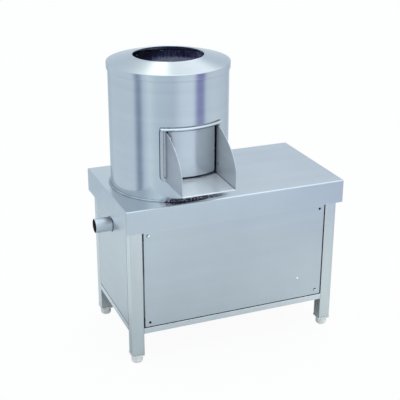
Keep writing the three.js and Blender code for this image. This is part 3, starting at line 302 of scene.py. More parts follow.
def corundum():
    """Dark grains with a few painted glints among them, and painted light on the upper right of the
    lining.
    """
    material, tree, shader = new_material("corundum_grit_in_resin")
    cells = object_pattern(tree, (330, 330, 330))
    grains = node(tree, "TexVoronoi", {"Scale": 1.0, "Vector": cells}).outputs
    patches = node(tree, "TexNoise", {"Scale": 0.05, "Detail": 4.0, "Vector": cells}).outputs[0]
    runs = node(tree, "TexNoise", {"Scale": 1.0, "Detail": 2.0,
                                   "Vector": object_pattern(tree, (260, 260, 60))}).outputs[0]
    x, y, z = node(tree, "SeparateXYZ", {0: object_pattern(tree)}).outputs
    upper = node(tree, "ValToRGB", {0: z}, [
        (place * mm, (share, share, share, 1))
        for place, share in lit_band_heights]).outputs[0]
    across = node(tree, "MapRange", {"From Min": lit_none_x, "From Max": lit_full_x,
                                     "Value": x}).outputs[0]
    curved = node(tree, "Math", {"operation": "POWER", 0: across, 1: 2.2}).outputs[0]
    right = node(tree, "Math", {"operation": "MULTIPLY_ADD", 0: curved, 1: 0.7,
                                2: 0.15}).outputs[0]
    painted_light_share = node(tree, "Math", {"operation": "MULTIPLY", 0: right, 1: upper}).outputs[0]
    uneven = node(tree, "Mix", {"data_type": "FLOAT", 0: 0.45, 2: patches, 3: runs}).outputs[0]
    amount = node(tree, "Math", {"operation": "ADD", 0: uneven, 1: painted_light_share}).outputs[0]
    dark = node(tree, "ValToRGB", {0: amount}, [
        (0.48, linear("#0A0A16")), (0.68, linear("#4A4A78")), (0.82, linear("#9090C0")),
        (0.95, linear("#D8D8EE"))]).outputs[0]
    # Painted glints: a few grains are coloured near white.
    painted_glint = node(tree, "Math", {"operation": "GREATER_THAN", 0: grains["Color"],
                                1: 0.93}).outputs[0]
    colour = node(tree, "Mix", {"data_type": "RGBA", 0: painted_glint, 6: dark,
                                7: linear("#DADAEA")}).outputs[2]
    relief = node(tree, "Bump", {"Strength": 0.8, "Distance": 1.5 * mm, "invert": True,
                                 "Height": grains["Distance"]})
    tree.links.new(colour, shader.inputs["Base Color"])
    tree.links.new(relief.outputs[0], shader.inputs["Normal"])
    shader.inputs["Roughness"].default_value = 0.8
    return material


grit = corundum()
print(len(bpy.data.materials), "materials so far")

# %% [markdown]
# ## Modelling helpers
# Every piece is modelled with the operators that a person would use. Operators act on all that
# is selected, so each piece starts with nothing selected, and faces or edges are picked by
# their place.

# %% Picking and editing
def corners(box):
    """The two corners of a box of the frame as vectors."""
    return [Vector(corner) for corner in box]


def middle(box):
    """The middle of a box of the frame."""
    return tuple((low + high) / 2 for low, high in zip(*corners(box)))


def close(one, other):
    """Whether two places agree to a hundredth of a millimetre."""
    return abs(one - other) < 0.01 * mm


def edit(mode="EDIT"):
    """Goes into edit mode, or back to object mode."""
    bpy.ops.object.mode_set(mode=mode)


def start(name):
    """Names the primitive that was just added."""
    obj = bpy.context.object
    obj.name = obj.data.name = name
    return obj


def only(obj=None):
    """Selects one object, or none, and makes it the active one."""
    bpy.ops.object.select_all(action="DESELECT")
    if obj:
        obj.select_set(True)
        bpy.context.view_layer.objects.active = obj
    return obj


def settle():
    """Writes the selected object's place, turn and scale into its mesh."""
    bpy.ops.object.transform_apply(location=True, rotation=True, scale=True)


def choose(kind, test):
    """In edit mode, selects the vertices, edges or faces whose middle passes the test."""
    bpy.ops.mesh.select_mode(type=kind)
    bpy.ops.mesh.select_all(action="DESELECT")
    shape = bmesh.from_edit_mesh(bpy.context.object.data)
    for item in {"VERT": shape.verts, "EDGE": shape.edges, "FACE": shape.faces}[kind]:
        points = [item.co] if kind == "VERT" else [v.co for v in item.verts]
        if test(sum(points, Vector()) / len(points), item):
            item.select_set(True)
    bmesh.update_edit_mesh(bpy.context.object.data)


def mend(reach=0.001 * mm):
    """In edit mode, merges doubled vertices and turns all faces outward."""
    bpy.ops.mesh.select_all(action="SELECT")
    bpy.ops.mesh.remove_doubles(threshold=reach)
    bpy.ops.mesh.normals_make_consistent(inside=False)

# %% [markdown]
# Modifiers do the cutting and rounding and are applied at once, so that each piece is plain
# mesh in the end. A large face keeps its own flat normal beside a rounded edge, as sheet does.
# Two primitives, a box and a cylinder, make the blanks and the cutting tools.

# %% Cutting, shading and blanks
def modifier(obj, kind, **settings):
    """Adds a modifier and applies it."""
    only(obj)
    added = obj.modifiers.new(kind.lower(), kind)
    for key, value in settings.items():
        setattr(added, key, value)
    bpy.ops.object.modifier_apply(modifier=added.name)
    return obj


def cut(obj, tool, operation="DIFFERENCE"):
    """Cuts, joins or intersects a piece with a tool, which is then deleted."""
    modifier(obj, "BOOLEAN", object=tool, operation=operation, solver="EXACT")
    bpy.data.objects.remove(tool)
    return only(obj)


def smooth(obj, angle=35):
    """Shades a piece smooth up to an angle."""
    only(obj)
    bpy.ops.object.shade_smooth_by_angle(angle=math.radians(angle))
    return modifier(obj, "WEIGHTED_NORMAL", keep_sharp=True)


def box_piece(name, low, high):
    """A cube primitive between two corners, with its place in its mesh."""
    low, high = Vector(low), Vector(high)
    only()
    bpy.ops.mesh.primitive_cube_add(size=1, location=(low + high) / 2, scale=high - low)
    settle()
    return start(name)


def cylinder(name, radius, depth, place, sides=32, rotation=(0, 0, 0)):
    """A cylinder primitive round a place; it is upright unless it is turned."""
    only()
    bpy.ops.mesh.primitive_cylinder_add(vertices=sides, radius=radius, depth=depth,
                                        location=place, rotation=rotation)
    return start(name)


along_x, along_y = (0, math.pi / 2, 0), (math.pi / 2, 0, 0)

# %% [markdown]
# Each finished piece gets a material, rides on a body of the machine and takes the place of the
# solids that it shows.

# %% Finishing a piece
def finished(obj, material, body, *nodes):
    """Gives a piece its material and its body, and lets it stand for its solids."""
    if material:
        obj.data.materials.clear()
        obj.data.materials.append(material)
    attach(obj, body)
    if nodes:
        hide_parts(*nodes)
    return obj

# %% [markdown]
# The seam between the drum and the table was welded by hand. Under the chute, the table and the
# drum's foot lie in shadow and mirror the chute's dark underside; three finishes get this shadow
# and reflection painted on, dark with a few bright flecks. It reaches from the seam nearly to the
# table's edge and fades out to both sides. Its share is noise, multiplied by one window after
# another in which it fades from full to none.

# %% Painted shadow at the front of the drum's base
drum_low, drum_high = corners(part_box("drum_shell"))
drum_axis = drum_x, drum_y = middle(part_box("drum_shell"))[:2]
print("drum axis at", round(drum_x, 4), round(drum_y, 4))
# The painted shadow's slant and the windows in which it fades out.
chute_shadow_slant = -0.1
chute_shadow_windows = (("X", -195 * mm, -272 * mm), ("X", -105 * mm, 0), ("Y", -134 * mm, -141 * mm),
                 ("Y", -110 * mm, -60 * mm), ("Z", drum_low.z + 4 * mm, drum_low.z + 11 * mm))


def paint_chute_shadow(material):
    """Paints the chute's shadow and its dark reflection into a finish."""
    tree = material.node_tree
    base = tree.nodes["Principled BSDF"].inputs["Base Color"]
    clean = base.links[0].from_socket
    place = node(tree, "TexCoord").outputs["Object"]
    slant = node(tree, "VectorRotate", {"rotation_type": "Z_AXIS", "Angle": chute_shadow_slant,
                                        "Vector": place}).outputs[0]
    axes = node(tree, "SeparateXYZ", {0: slant}).outputs
    share = node(tree, "TexNoise", {"Scale": 70.0, "Detail": 4.0, "Roughness": 0.7,
                                    "Vector": place}).outputs[0]
    for axis, full, none in chute_shadow_windows:
        near = node(tree, "MapRange", {"From Min": full, "From Max": none, "To Min": 1.0,
                                       "To Max": 0.0, "Value": axes[axis]}).outputs[0]
        share = node(tree, "Math", {"operation": "MULTIPLY", 0: share, 1: near}).outputs[0]
    solid = node(tree, "MapRange", {"From Min": 0.10, "From Max": 0.27,
                                    "Value": share}).outputs[0]
    fleck = node(tree, "TexNoise", {"Scale": 170.0, "Detail": 1.0, "Vector": place}).outputs[0]
    # The painted shadow's colours, with bright flecks.
    colour = node(tree, "ValToRGB", {0: fleck}, [
        (0.40, linear("#35303E")), (0.52, linear("#595463")),
        (0.62, linear("#A6A5B2"))]).outputs[0]
    shadowed = node(tree, "Mix", {"data_type": "RGBA", 0: solid, 6: clean, 7: colour}).outputs[2]
    tree.links.new(shadowed, base)


for finish in (steel_top, steel_round, zinc_weld):
    paint_chute_shadow(finish)
print("stained from x", chute_shadow_windows[0][2], "to", chute_shadow_windows[1][2])

# %% [markdown]
# ## Table
# The top is one sheet, folded down on all four sides. It is a cube without its underside, with
# rounded folds and a wall thickness from Solidify. The hole under the drum lets the spindle's
# housing through, and the small one the drain.

# %% Table top
sheet = 2 * mm
table_corner, table_fold = 4 * mm, 3.8 * mm
housing_hole, outlet_hole = 31.3 * mm, 21.5 * mm
outlet_x = drum_x - 150 * mm
table_low, table_high = corners(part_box("table_top"))
table = box_piece("table_top_sheet", table_low, table_high)
edit()
choose("EDGE", lambda m, e: close(m.z, (table_low.z + table_high.z) / 2))
bpy.ops.mesh.bevel(offset=table_corner, segments=4)
choose("EDGE", lambda m, e: close(m.z, table_high.z)
       and all(close(v.co.z, table_high.z) for v in e.verts))
bpy.ops.mesh.bevel(offset=table_fold, segments=6)
choose("FACE", lambda m, f: close(m.z, table_low.z))
bpy.ops.mesh.delete(type="FACE")
edit("OBJECT")
modifier(table, "SOLIDIFY", thickness=sheet, offset=-1)
for x, hole_radius in ((drum_x, housing_hole), (outlet_x, outlet_hole)):
    cut(table, cylinder("hole_tool", hole_radius, 20 * mm, (x, drum_y, table_high.z), 64))
smooth(table)
finished(table, steel_top, "stand", "table_top")
print("table top", [round(v * 1000) for v in table_high - table_low], "mm")

# %% [markdown]
# ## Legs, rails and panels
# The legs and rails are stock square tube. Their solids have the right shape, but a solid is
# loose triangles. So a copy of it is merged into one connected mesh, and its long edges get the
# round corners that drawn tube has.

# %% Legs and rails
def merged_copy(node_name, name):
    """A copy of a solid as one connected mesh with flat faces."""
    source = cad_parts[node_name]
    obj = bpy.data.objects.new(name, source.data.copy())
    obj.matrix_world = source.matrix_world
    bpy.context.scene.collection.objects.link(obj)
    only(obj)
    settle()
    edit()
    bpy.ops.mesh.select_all(action="SELECT")
    bpy.ops.mesh.remove_doubles(threshold=0.001 * mm)
    bpy.ops.mesh.dissolve_limited(angle_limit=math.radians(1))
    edit("OBJECT")
    return obj


def tube(node_name, long_edge, corner, segments, material):
    """A square tube: its edges that are longer than a length are rounded."""
    obj = merged_copy(node_name, f"{node_name}_tube")
    edit()
    choose("EDGE", lambda m, e: e.calc_length() > long_edge and len(e.link_faces) == 2
           and e.calc_face_angle() > 0.5)
    bpy.ops.mesh.bevel(offset=corner, segments=segments)
    edit("OBJECT")
    smooth(obj)
    return finished(obj, material, "stand", node_name)


leg_names = ["front_left", "front_right", "rear_left", "rear_right"]
legs = {name: tube(f"{name}_leg", 400 * mm, 1.9 * mm, 4, steel_leg) for name in leg_names}
for name, steel in (("front", steel_rail_x), ("rear", steel_rail_x), ("left", steel_rail_y),
                    ("right", steel_rail_y)):
    tube(f"{name}_rail", 200 * mm, 1.2 * mm, 3, steel)
print(len(legs), "legs and 4 rails")

# %% [markdown]
# The panels are flat sheet with folded edges. A deburred edge is only slightly round, but it
# still catches a line of light, so every edge gets a fine bevel.

# %% Panels
def rounded(obj, width, segments=3, angle=30):
    """Rounds the edges that are sharper than an angle."""
    return modifier(obj, "BEVEL", width=width, segments=segments, limit_method="ANGLE",
                    angle_limit=math.radians(angle), use_clamp_overlap=True)


def soften(obj, width, segments=3, angle=30):
    """Rounds a piece's edges and shades it smooth."""
    return smooth(rounded(obj, width, segments, angle))


panels = {}
for name in ("front", "rear", "left", "right"):
    panel = soften(merged_copy(f"{name}_panel", f"{name}_panel_sheet"), 0.4 * mm, 2)
    panels[name] = finished(panel, steel_side, "stand", f"{name}_panel")
front = panels["front"]
front_low, front_high = corners(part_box("front_panel"))
print("front panel", [round(v * 1000, 1) for v in (*front_low, *front_high)])

# %% [markdown]
# The front panel's holes were punched too large. Two are open and look black; beside each
# fastener a dark crescent of its hole stays in sight. An open hole lines up with both screws,
# and a crescent's hole is placed from its fastener's axis. Each row of the table gives a hole's
# X, its Z, its radius and the pieces that it is punched through.

# %% Panel holes
left_x, y, top_z = middle(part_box("panel_screw_top_left"))
right_x, y, low_z = middle(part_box("panel_screw_bottom_right"))
rivet_x, y, rivet_z = middle(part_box("panel_rivet"))
open_hole = 4.4 * mm
holes = (
    (right_x, top_z, open_hole, (front, legs["front_right"])),
    (left_x, low_z, open_hole, (front, legs["front_left"])),
    (left_x - 3.0 * mm, top_z + 1.8 * mm, 4.8 * mm, (front,)),
    (right_x - 1.9 * mm, low_z + 2.7 * mm, 5.4 * mm, (front,)),
    (rivet_x + 2.2 * mm, rivet_z - 1.2 * mm, 3.8 * mm, (front,)))
for x, z, hole_radius, pieces in holes:
    for piece in pieces:
        cut(piece, cylinder("punch", hole_radius, 12 * mm, (x, front_low.y + 5 * mm, z),
                            rotation=along_y))
print(len(holes), "holes in the front panel")

# %% [markdown]
# The tabs behind the panel's edges and the walls of its holes get the nearly black finish as
# painted shade, so that the gaps beside it look black. A narrow fold behind each upright edge
# closes the gap between the tabs, and a deeper one the gap beside the lower tab; these folds are
# painted shade too. A second finish goes only to the faces that pass a test.

# %% Painted shade round the front panel
def joined(obj, *others):
    """Joins other pieces to a piece."""
    only(obj)
    for other in others:
        other.select_set(True)
    bpy.ops.object.join()
    return obj


def add_finish(obj, material, test):
    """Gives the faces that pass a test one more finish, and returns how many there are."""
    slots = obj.data.materials
    if material.name not in slots:
        slots.append(material)
    picked = [face for face in obj.data.polygons if test(face)]
    for face in picked:
        face.material_index = slots.find(material.name)
    return len(picked)


panel_x = middle(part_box("front_panel"))[0]
tube_x = panel_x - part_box("front_left_leg")[0][0] - 40 * mm
fold_sheet, fold_inset, fold_depth = 1 * mm, 0.1 * mm, 17 * mm
upper_fold_back, lower_fold_back, lower_fold_height = 1.3 * mm, 4.8 * mm, 14 * mm


def beside_panel(place):
    """Whether a place on a leg lies on its tabs, which reach in behind the panel."""
    return abs(place.x - panel_x) < tube_x - 0.5 * mm


def on_hole_wall(face):
    """Whether a face lies round one of the holes and looks sideways."""
    return any(math.hypot(face.center.x - x, face.center.z - z) < hole_radius + 0.1 * mm
               and abs(face.normal.y) < 0.5 for x, z, hole_radius, pieces in holes)


tab_heights = [v.co.z for v in legs["front_left"].data.vertices if beside_panel(v.co)]
tab_top = max(z for z in tab_heights if z < (low_z + top_z) / 2) + 0.1 * mm
tab_foot = min(z for z in tab_heights if z > (low_z + top_z) / 2) - 0.1 * mm
shaded_folds = []
for x in (front_low.x + fold_inset, front_high.x - fold_inset - fold_sheet):
    for behind, low, high in ((upper_fold_back, tab_top, tab_foot),
                              (lower_fold_back, tab_top - lower_fold_height, tab_top)):
        shaded_folds.append(box_piece("fold", (x, front_low.y + behind, low),
                               (x + fold_sheet, front_low.y + fold_depth, high)))
        # The fold is painted shade all over.
        add_finish(shaded_folds[-1], black_shade, lambda face: True)
joined(front, *shaded_folds)
# Painted shade on the hole walls and on the tabs behind the panel's edges.
for piece in (front, legs["front_left"], legs["front_right"]):
    smooth(piece)
    count = add_finish(piece, black_shade, lambda face: on_hole_wall(face)
                       or piece != front and beside_panel(face.center))
    print(piece.name, "has", count, "more grimy faces")

# %% [markdown]
# ## Drum
# The opening for the door is cut into several pieces: shell, lining, door and lintel. One
# function makes the block that cuts it, with rounded lower corners where they are asked for.

# %% Opening tool
wing_gap = 0.3 * mm
chute_low, chute_high = corners(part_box("chute_floor"))
lintel_low, lintel_high = corners(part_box("chute_lintel"))
wing_left = chute_low.x - wing_gap
wing_right = chute_high.x + wing_gap
opening_right = wing_right + 1 * mm
opening = (wing_left - 1 * mm, opening_right, chute_high.z, lintel_low.z - 1 * mm)
opening_corner = 6 * mm
print("opening", [round(v * 1000, 1) for v in opening], "mm")


def opening_tool(left, right, low, high, corner_left=0, corner_right=0):
    """A block through the drum's front with rounded lower corners."""
    tool = box_piece("opening_tool", (left, drum_y - 400 * mm, low), (right, drum_y, high))
    for x, corner in ((left, corner_left), (right, corner_right)):
        if corner > 0:
            edit()
            choose("EDGE", lambda m, e: close(m.x, x) and close(m.z, low))
            bpy.ops.mesh.bevel(offset=corner, segments=8)
            edit("OBJECT")
    return tool

# %% [markdown]
# Many pieces of this machine are turned, spun or rolled. Such a piece is one circle, which is
# extruded and resized from point to point along its profile. Where the profile closes, its
# first and last rings lie on each other and are merged.

# %% Turning
def circle(name, radius, place, sides):
    """A circle primitive with its place in its mesh."""
    only()
    bpy.ops.mesh.primitive_circle_add(vertices=sides, radius=radius, location=place)
    settle()
    return start(name)


def turned(name, centre, profile, segments=128, closed=True):
    """Turns a profile of (radius, height) points round an upright axis. A closed profile ends
    where it began; the ends of an open one are filled."""
    x, y = centre
    first = profile[0]
    radius, height = first
    obj = circle(name, radius, (x, y, height), segments)
    edit()
    bpy.ops.mesh.select_all(action="SELECT")
    for next_radius, next_height in list(profile[1:]) + ([first] if closed else []):
        bpy.ops.mesh.extrude_region_move(
            TRANSFORM_OT_translate={"value": (0, 0, next_height - height)})
        factor = next_radius / radius
        bpy.ops.transform.resize(value=(factor, factor, 1),
                                 center_override=(x, y, next_height))
        radius, height = next_radius, next_height
    if not closed:
        for end in (first[1], height):
            choose("EDGE", lambda m, e: e.is_boundary and close(m.z, end))
            bpy.ops.mesh.edge_face_add()
    mend()
    edit("OBJECT")
    return obj

# %% [markdown]
# The shell is rolled sheet. It is turned from a circle of 192 points, so that its reflections
# stay clean. What lies on it, outside or inside, keeps the seat's gap from it.

# %% Drum shell
drum_sides = 192
seat_gap = 0.3 * mm
radius = (drum_high.x - drum_low.x) / 2
inner = radius - sheet
shell = turned("drum_shell_sheet", drum_axis, [
    (radius, drum_low.z), (radius, drum_high.z), (inner, drum_high.z), (inner, drum_low.z)],
    segments=drum_sides)
cut(shell, opening_tool(*opening, opening_corner, opening_corner))
smooth(shell, 40)
finished(shell, steel_round, "stand", "drum_shell")
print("drum", round(2 * radius * 1000), "mm across")

# %% [markdown]
# The base ring is the ground weld between the drum and the table: a low band with a hollow
# outer face.

# %% Base ring
ring_low, ring_high = corners(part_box("drum_base_ring"))
ring_outer = (ring_high.x - ring_low.x) / 2
ring_inner = radius + 0.2 * mm
foot = ring_low.z
height = ring_high.z - foot
base_ring = turned("drum_base_weld", drum_axis, [
    (ring_inner, foot), (ring_outer, foot), (ring_outer, foot + 0.2 * height),
    (ring_inner + 3.2 * mm, foot + 0.4 * height), (ring_inner + 1.4 * mm, foot + 0.7 * height),
    (ring_inner + 0.8 * mm, foot + height), (ring_inner, foot + height)], segments=drum_sides)
smooth(base_ring, 60)
finished(base_ring, zinc_weld, "stand", "drum_base_ring")
print("weld", round(height * 1000, 1), "mm high")

# %% [markdown]
# ## Lid ring
# A spun ring: its skirt fits over the drum, a soft shoulder turns into a shallow cone, and the
# edge of the feed hole is rolled over so that it doesn't cut hands. The profile goes up the
# outside, round the roll and back on the inside.

# %% Lid ring
def arc(centre, radius, start_angle, end_angle, steps):
    """Points of an arc in a profile, from one angle to another in degrees."""
    return [(centre[0] + radius * math.cos(math.radians(a)),
             centre[1] + radius * math.sin(math.radians(a)))
            for a in (start_angle + (end_angle - start_angle) * i / steps
                      for i in range(steps + 1))]


lid_low, lid_high = corners(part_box("lid_ring"))
lid_radius = (lid_high.x - lid_low.x) / 2
feed_radius, shoulder = 112.5 * mm, 954 * mm
shoulder_radius, feed_roll, roll_start = 2.5 * mm, 3.2 * mm, 12 * mm
slope = (lid_high.z - shoulder) / (lid_radius - feed_radius)
cone_angle = math.degrees(math.atan(slope))
lid = turned("lid_ring_spun", drum_axis, [
    (lid_radius - 0.3 * mm, lid_low.z), (lid_radius, lid_low.z + 0.6 * mm),
    (lid_radius, shoulder - shoulder_radius)]
    + arc((lid_radius - shoulder_radius, shoulder - shoulder_radius + 0.6 * mm),
          shoulder_radius, 0, 90 - cone_angle, 5)
    + [(feed_radius + roll_start,
        lid_high.z - feed_roll * 0.15 - (roll_start - feed_roll) * slope)]
    + arc((feed_radius + feed_roll, lid_high.z - feed_roll), feed_roll, 90 - cone_angle, 270, 10)
    + [(feed_radius + feed_roll + 1.5 * mm, lid_high.z - 2 * feed_roll + 0.6 * mm),
       (feed_radius + roll_start, lid_high.z - roll_start * slope - sheet),
       (lid_radius - 5 * mm, shoulder + 5 * mm * slope - sheet - 0.4 * mm),
       (lid_radius - sheet, shoulder - 5 * mm), (lid_radius - sheet, lid_low.z)],
    segments=drum_sides)
smooth(lid, 40)
finished(lid, steel_round, "lid", "lid_ring")
print("lid cone rises at", round(cone_angle, 1), "degrees")

# %% [markdown]
# ## Lining, pan and disc
# Through the feed hole the lining shows as dark, coarse grit. Its inner face is divided finely
# and pushed in and out by noise, so that its silhouette is rough too.

# %% Lining
liner_low, liner_high = corners(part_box("abrasive_liner"))
liner_outer = (liner_high.x - liner_low.x) / 2
lining, grit_lump, grit_relief = 5 * mm, 9 * mm, 2.2 * mm
liner_inner = liner_outer - lining
steps = 60
rise_step = (liner_high.z - liner_low.z) / steps
liner = turned("abrasive_lining", drum_axis,
               [(liner_outer, liner_low.z), (liner_outer, liner_high.z)]
               + [(liner_inner, liner_high.z - i * rise_step) for i in range(steps + 1)],
               segments=drum_sides)
cut(liner, opening_tool(*opening, opening_corner, opening_corner))
grains = bpy.data.textures.new("grit_relief", "CLOUDS")
grains.noise_scale = grit_lump
group = liner.vertex_groups.new(name="rough_face")
group.add([v.index for v in liner.data.vertices
           if math.hypot(v.co.x - drum_x, v.co.y - drum_y) < liner_inner + 1 * mm
           and v.co.z > liner_low.z + 1 * mm], 1.0, "REPLACE")
modifier(liner, "DISPLACE", texture=grains, strength=grit_relief, mid_level=0.5,
         vertex_group="rough_face", texture_coords="OBJECT")
smooth(liner, 60)
finished(liner, grit, "stand", "abrasive_liner")
print("lining of", len(liner.data.polygons), "faces")

# %% [markdown]
# The pan under the drum is a pressing, and the disc on the spindle is a casting with the same
# grit, held by a cap nut. Their solids have the right forms.

# %% Pan and disc
pan = smooth(merged_copy("drum_pan", "drum_pan_pressing"), 30)
finished(pan, steel_round, "stand", "drum_pan")
disc = soften(merged_copy("abrasive_disc", "peeling_disc"), 1.2 * mm, 2)
finished(disc, grit, "spindle", "abrasive_disc")
nut = soften(merged_copy("disc_nut", "disc_cap_nut"), 1 * mm, 3, 25)
finished(nut, zinc_steel, "spindle", "disc_nut")
print("disc", round(disc.dimensions.x * 1000), "mm across")

# %% [markdown]
# ## Chute
# The floor is a flat sheet that falls toward its lip, where it is rolled to a hem. It is
# scribed to the drum with a plug that is a hair wider than the shell.

# %% Chute floor
hem, floor_fall = 2.5 * mm, 5 * mm
lip_y = chute_low.y
slab = box_piece("chute_floor_sheet", (chute_low.x, lip_y + hem, chute_high.z - sheet),
                 (chute_high.x, drum_y, chute_high.z))
edit()
choose("VERT", lambda m, v: m.y < lip_y + hem + 0.1 * mm)
bpy.ops.transform.translate(value=(0, 0, -floor_fall))
edit("OBJECT")
cut(slab, cylinder("hem", hem, chute_high.x - chute_low.x,
                   ((chute_low.x + chute_high.x) / 2, lip_y + hem,
                    chute_high.z - floor_fall - hem), rotation=along_x), "UNION")


def drum_tool():
    """A plug to scribe pieces to the drum, with their gap to it."""
    return cylinder("drum_tool", radius + seat_gap, 600 * mm,
                    (drum_x, drum_y, drum_high.z - 200 * mm), drum_sides)


cut(slab, drum_tool())
smooth(slab, 40)
finished(slab, steel_chute, "stand", "chute_floor")
print("chute", round((chute_high.x - chute_low.x) * 1000), "mm wide")

# %% [markdown]
# Each wing is a flat sheet with a long curved front edge. Its outline is a Bezier curve, which
# becomes a mesh with thickness and rounded edges and is then turned upright.

# %% Wing plate
wing_top = lintel_low.z - wing_gap
nose_z = 662 * mm
root_z = chute_high.z - sheet
lip_z = chute_high.z - floor_fall - sheet
top_length, leave_share, drop_share, arrive_share = 146 * mm, 0.34, 0.04, 0.5


def wing_plate(name, x_low, x_high):
    """The wing between two X places, without its flange."""
    start_y = lip_y + top_length
    curve = bpy.data.curves.new(name, "CURVE")
    curve.dimensions = "2D"
    curve.fill_mode = "BOTH"
    curve.resolution_u = 32
    edge = 0.5 * mm
    curve.bevel_depth = edge
    curve.bevel_resolution = 2
    curve.offset = -edge
    curve.extrude = (x_high - x_low) / 2 - edge
    fall = wing_top - nose_z
    outline = [(drum_y, wing_top), (start_y, wing_top), (lip_y, nose_z), (lip_y, lip_z),
               (drum_y, root_z)]
    spline = curve.splines.new("BEZIER")
    spline.bezier_points.add(len(outline) - 1)
    spline.use_cyclic_u = True
    for point, place in zip(spline.bezier_points, outline):
        point.co = (*place, 0)
        point.handle_left_type = point.handle_right_type = "VECTOR"
    leave, arrive = spline.bezier_points[1], spline.bezier_points[2]
    leave.handle_right_type = arrive.handle_left_type = "FREE"
    leave.handle_right = (start_y - top_length * leave_share, wing_top - fall * drop_share, 0)
    arrive.handle_left = (lip_y, nose_z + fall * arrive_share, 0)
    obj = bpy.data.objects.new(name, curve)
    bpy.context.scene.collection.objects.link(obj)
    only(obj)
    bpy.ops.object.convert(target="MESH")
    obj = bpy.context.object
    obj.matrix_world = Matrix(((0, 0, 1, (x_low + x_high) / 2), (1, 0, 0, 0),
                               (0, 1, 0, 0), (0, 0, 0, 1)))
    settle()
    edit()
    mend(0.01 * mm)
    edit("OBJECT")
    return start(name)

# %% [markdown]
# A flange on each wing lies on the drum and ends in a raised bead, and the shadows in the joints
# round the bead are painted with dark strips. All these strips are rolled to the drum. So each is a
# band of a ring of 384 sides, cut to its outline by the same block that cuts the opening.

# %% Bands on the drum
fine_sides = 384


def drum_band(name, depth, low, high, left, right, corner_left=0, corner_right=0, gap=seat_gap):
    """A strip of sheet that is rolled to the drum and lies on it between two X places."""
    strip = turned(name, drum_axis, [
        (radius + gap, low), (radius + gap + depth, low), (radius + gap + depth, high),
        (radius + gap, high)], segments=fine_sides)
    return cut(strip, opening_tool(left, right, low, high + 1 * mm,
                                   corner_left, corner_right), "INTERSECT")


def outer_corner(sign, size):
    """The left and right corner of a strip that is rounded on the flange's outer side alone."""
    return (size, 0) if sign < 0 else (0, size)

# %% [markdown]
# The flange and its bead are joined to the wing, so that they become one sheet with it. The
# door's bolt passes through a hole in the right wing. Inside, potatoes have scoured the sheet.
# The dark strips of painted shadow stay a mesh of their own inside the piece: one seam lies round
# the flange's edge, and two narrow ones lie along the bead's inner edges.

# %% Wings
flange, flange_corner = 15 * mm, 14 * mm
bead_width, bead_depth, bead_gap, bead_round = 8 * mm, 4 * mm, 0.8 * mm, 2.6 * mm
seam_width, edge_seam_depth, bead_seam_depth, bead_seam_gap = 1.4 * mm, 1.2 * mm, 0.5 * mm, 2.3 * mm
bolt_hole, bolt_y, bolt_z = 4.15 * mm, drum_y - 181 * mm, 655 * mm
for side_name, sign, inner_x in (("left", -1, wing_left), ("right", 1, wing_right)):
    outer_x = inner_x + sign * sheet
    plate = wing_plate(f"chute_{side_name}_wing_sheet", *sorted((inner_x, outer_x)))
    cut(plate, drum_tool())
    edge_x = outer_x + sign * flange
    span = sorted((inner_x, edge_x))
    cut(plate, drum_band("flange", sheet, root_z, wing_top, *span,
                         *outer_corner(sign, flange_corner)), "UNION")
    bead = drum_band("bead", bead_depth, root_z, wing_top, *span,
                     *outer_corner(sign, flange_corner), gap=bead_gap)
    within, bead_foot = edge_x - sign * bead_width, root_z + bead_width
    cut(bead, opening_tool(*sorted((inner_x - sign * 5 * mm, within)), bead_foot,
                           wing_top + 5 * mm, *outer_corner(sign, flange_corner - bead_width)))
    cut(plate, rounded(bead, bead_round, 4, 50), "UNION")
    if sign > 0:
        cut(plate, cylinder("bolt_hole_tool", bolt_hole, 20 * mm, (outer_x, bolt_y, bolt_z),
                            rotation=along_x))
    plate.data.materials.append(steel_wing)
    add_finish(plate, steel_inner, lambda face: face.normal.x * sign < -0.9
               and abs(face.center.x - inner_x) < 0.1 * mm)
    outside, inside = edge_x + sign * seam_width, within - sign * seam_width
    seams = [drum_band("seam", edge_seam_depth, root_z - seam_width, wing_top,
                       *sorted((edge_x - sign * flange_corner, outside)),
                       *outer_corner(sign, flange_corner + seam_width))]
    for across, high in (((inside, within), wing_top),
                         ((outer_x, within), bead_foot + seam_width)):
        seams.append(drum_band("seam", bead_seam_depth, bead_foot, high, *sorted(across),
                               gap=bead_seam_gap))
    for seam in seams:
        # Each seam is painted shadow.
        seam.data.materials.append(shadow_strip)
    smooth(joined(plate, *seams), 40)
    finished(plate, None, "stand", f"chute_{side_name}_wing")
    print(side_name, "wing", [round(v * 1000) for v in plate.dimensions], "mm")

# %% [markdown]
# The lintel is a rolled bar over the opening that sheds water to both sides. Its front is
# rounded.

# %% Lintel
bar_low, bar_high = lintel_low.z, lintel_high.z
bar_depth, nose = 10 * mm, 4.4 * mm
bar_in = radius + seat_gap
bar_out = bar_in + bar_depth
bar = turned("chute_lintel_bar", drum_axis,
             [(bar_in, bar_low)]
             + arc((bar_out - nose, bar_low + nose), nose, -90, 0, 5)
             + arc((bar_out - nose, bar_high - nose), nose, 0, 90, 5)
             + [(bar_in, bar_high)], segments=fine_sides)
cut(bar, opening_tool(lintel_low.x, lintel_high.x, bar_low - 5 * mm, bar_high + 5 * mm),
    "INTERSECT")
soften(bar, 1.5 * mm, 3, 55)
finished(bar, steel_round, "stand", "chute_lintel")
print("lintel", round((bar_high - bar_low) * 1000, 1), "mm high")

# %% [markdown]
# ## Door
# The door is rolled to the drum's radius and fills the opening, with a finger gap on its right.
# Two knuckles on its left turn on an upright pin, and a leaf joins each of them to the sheet.

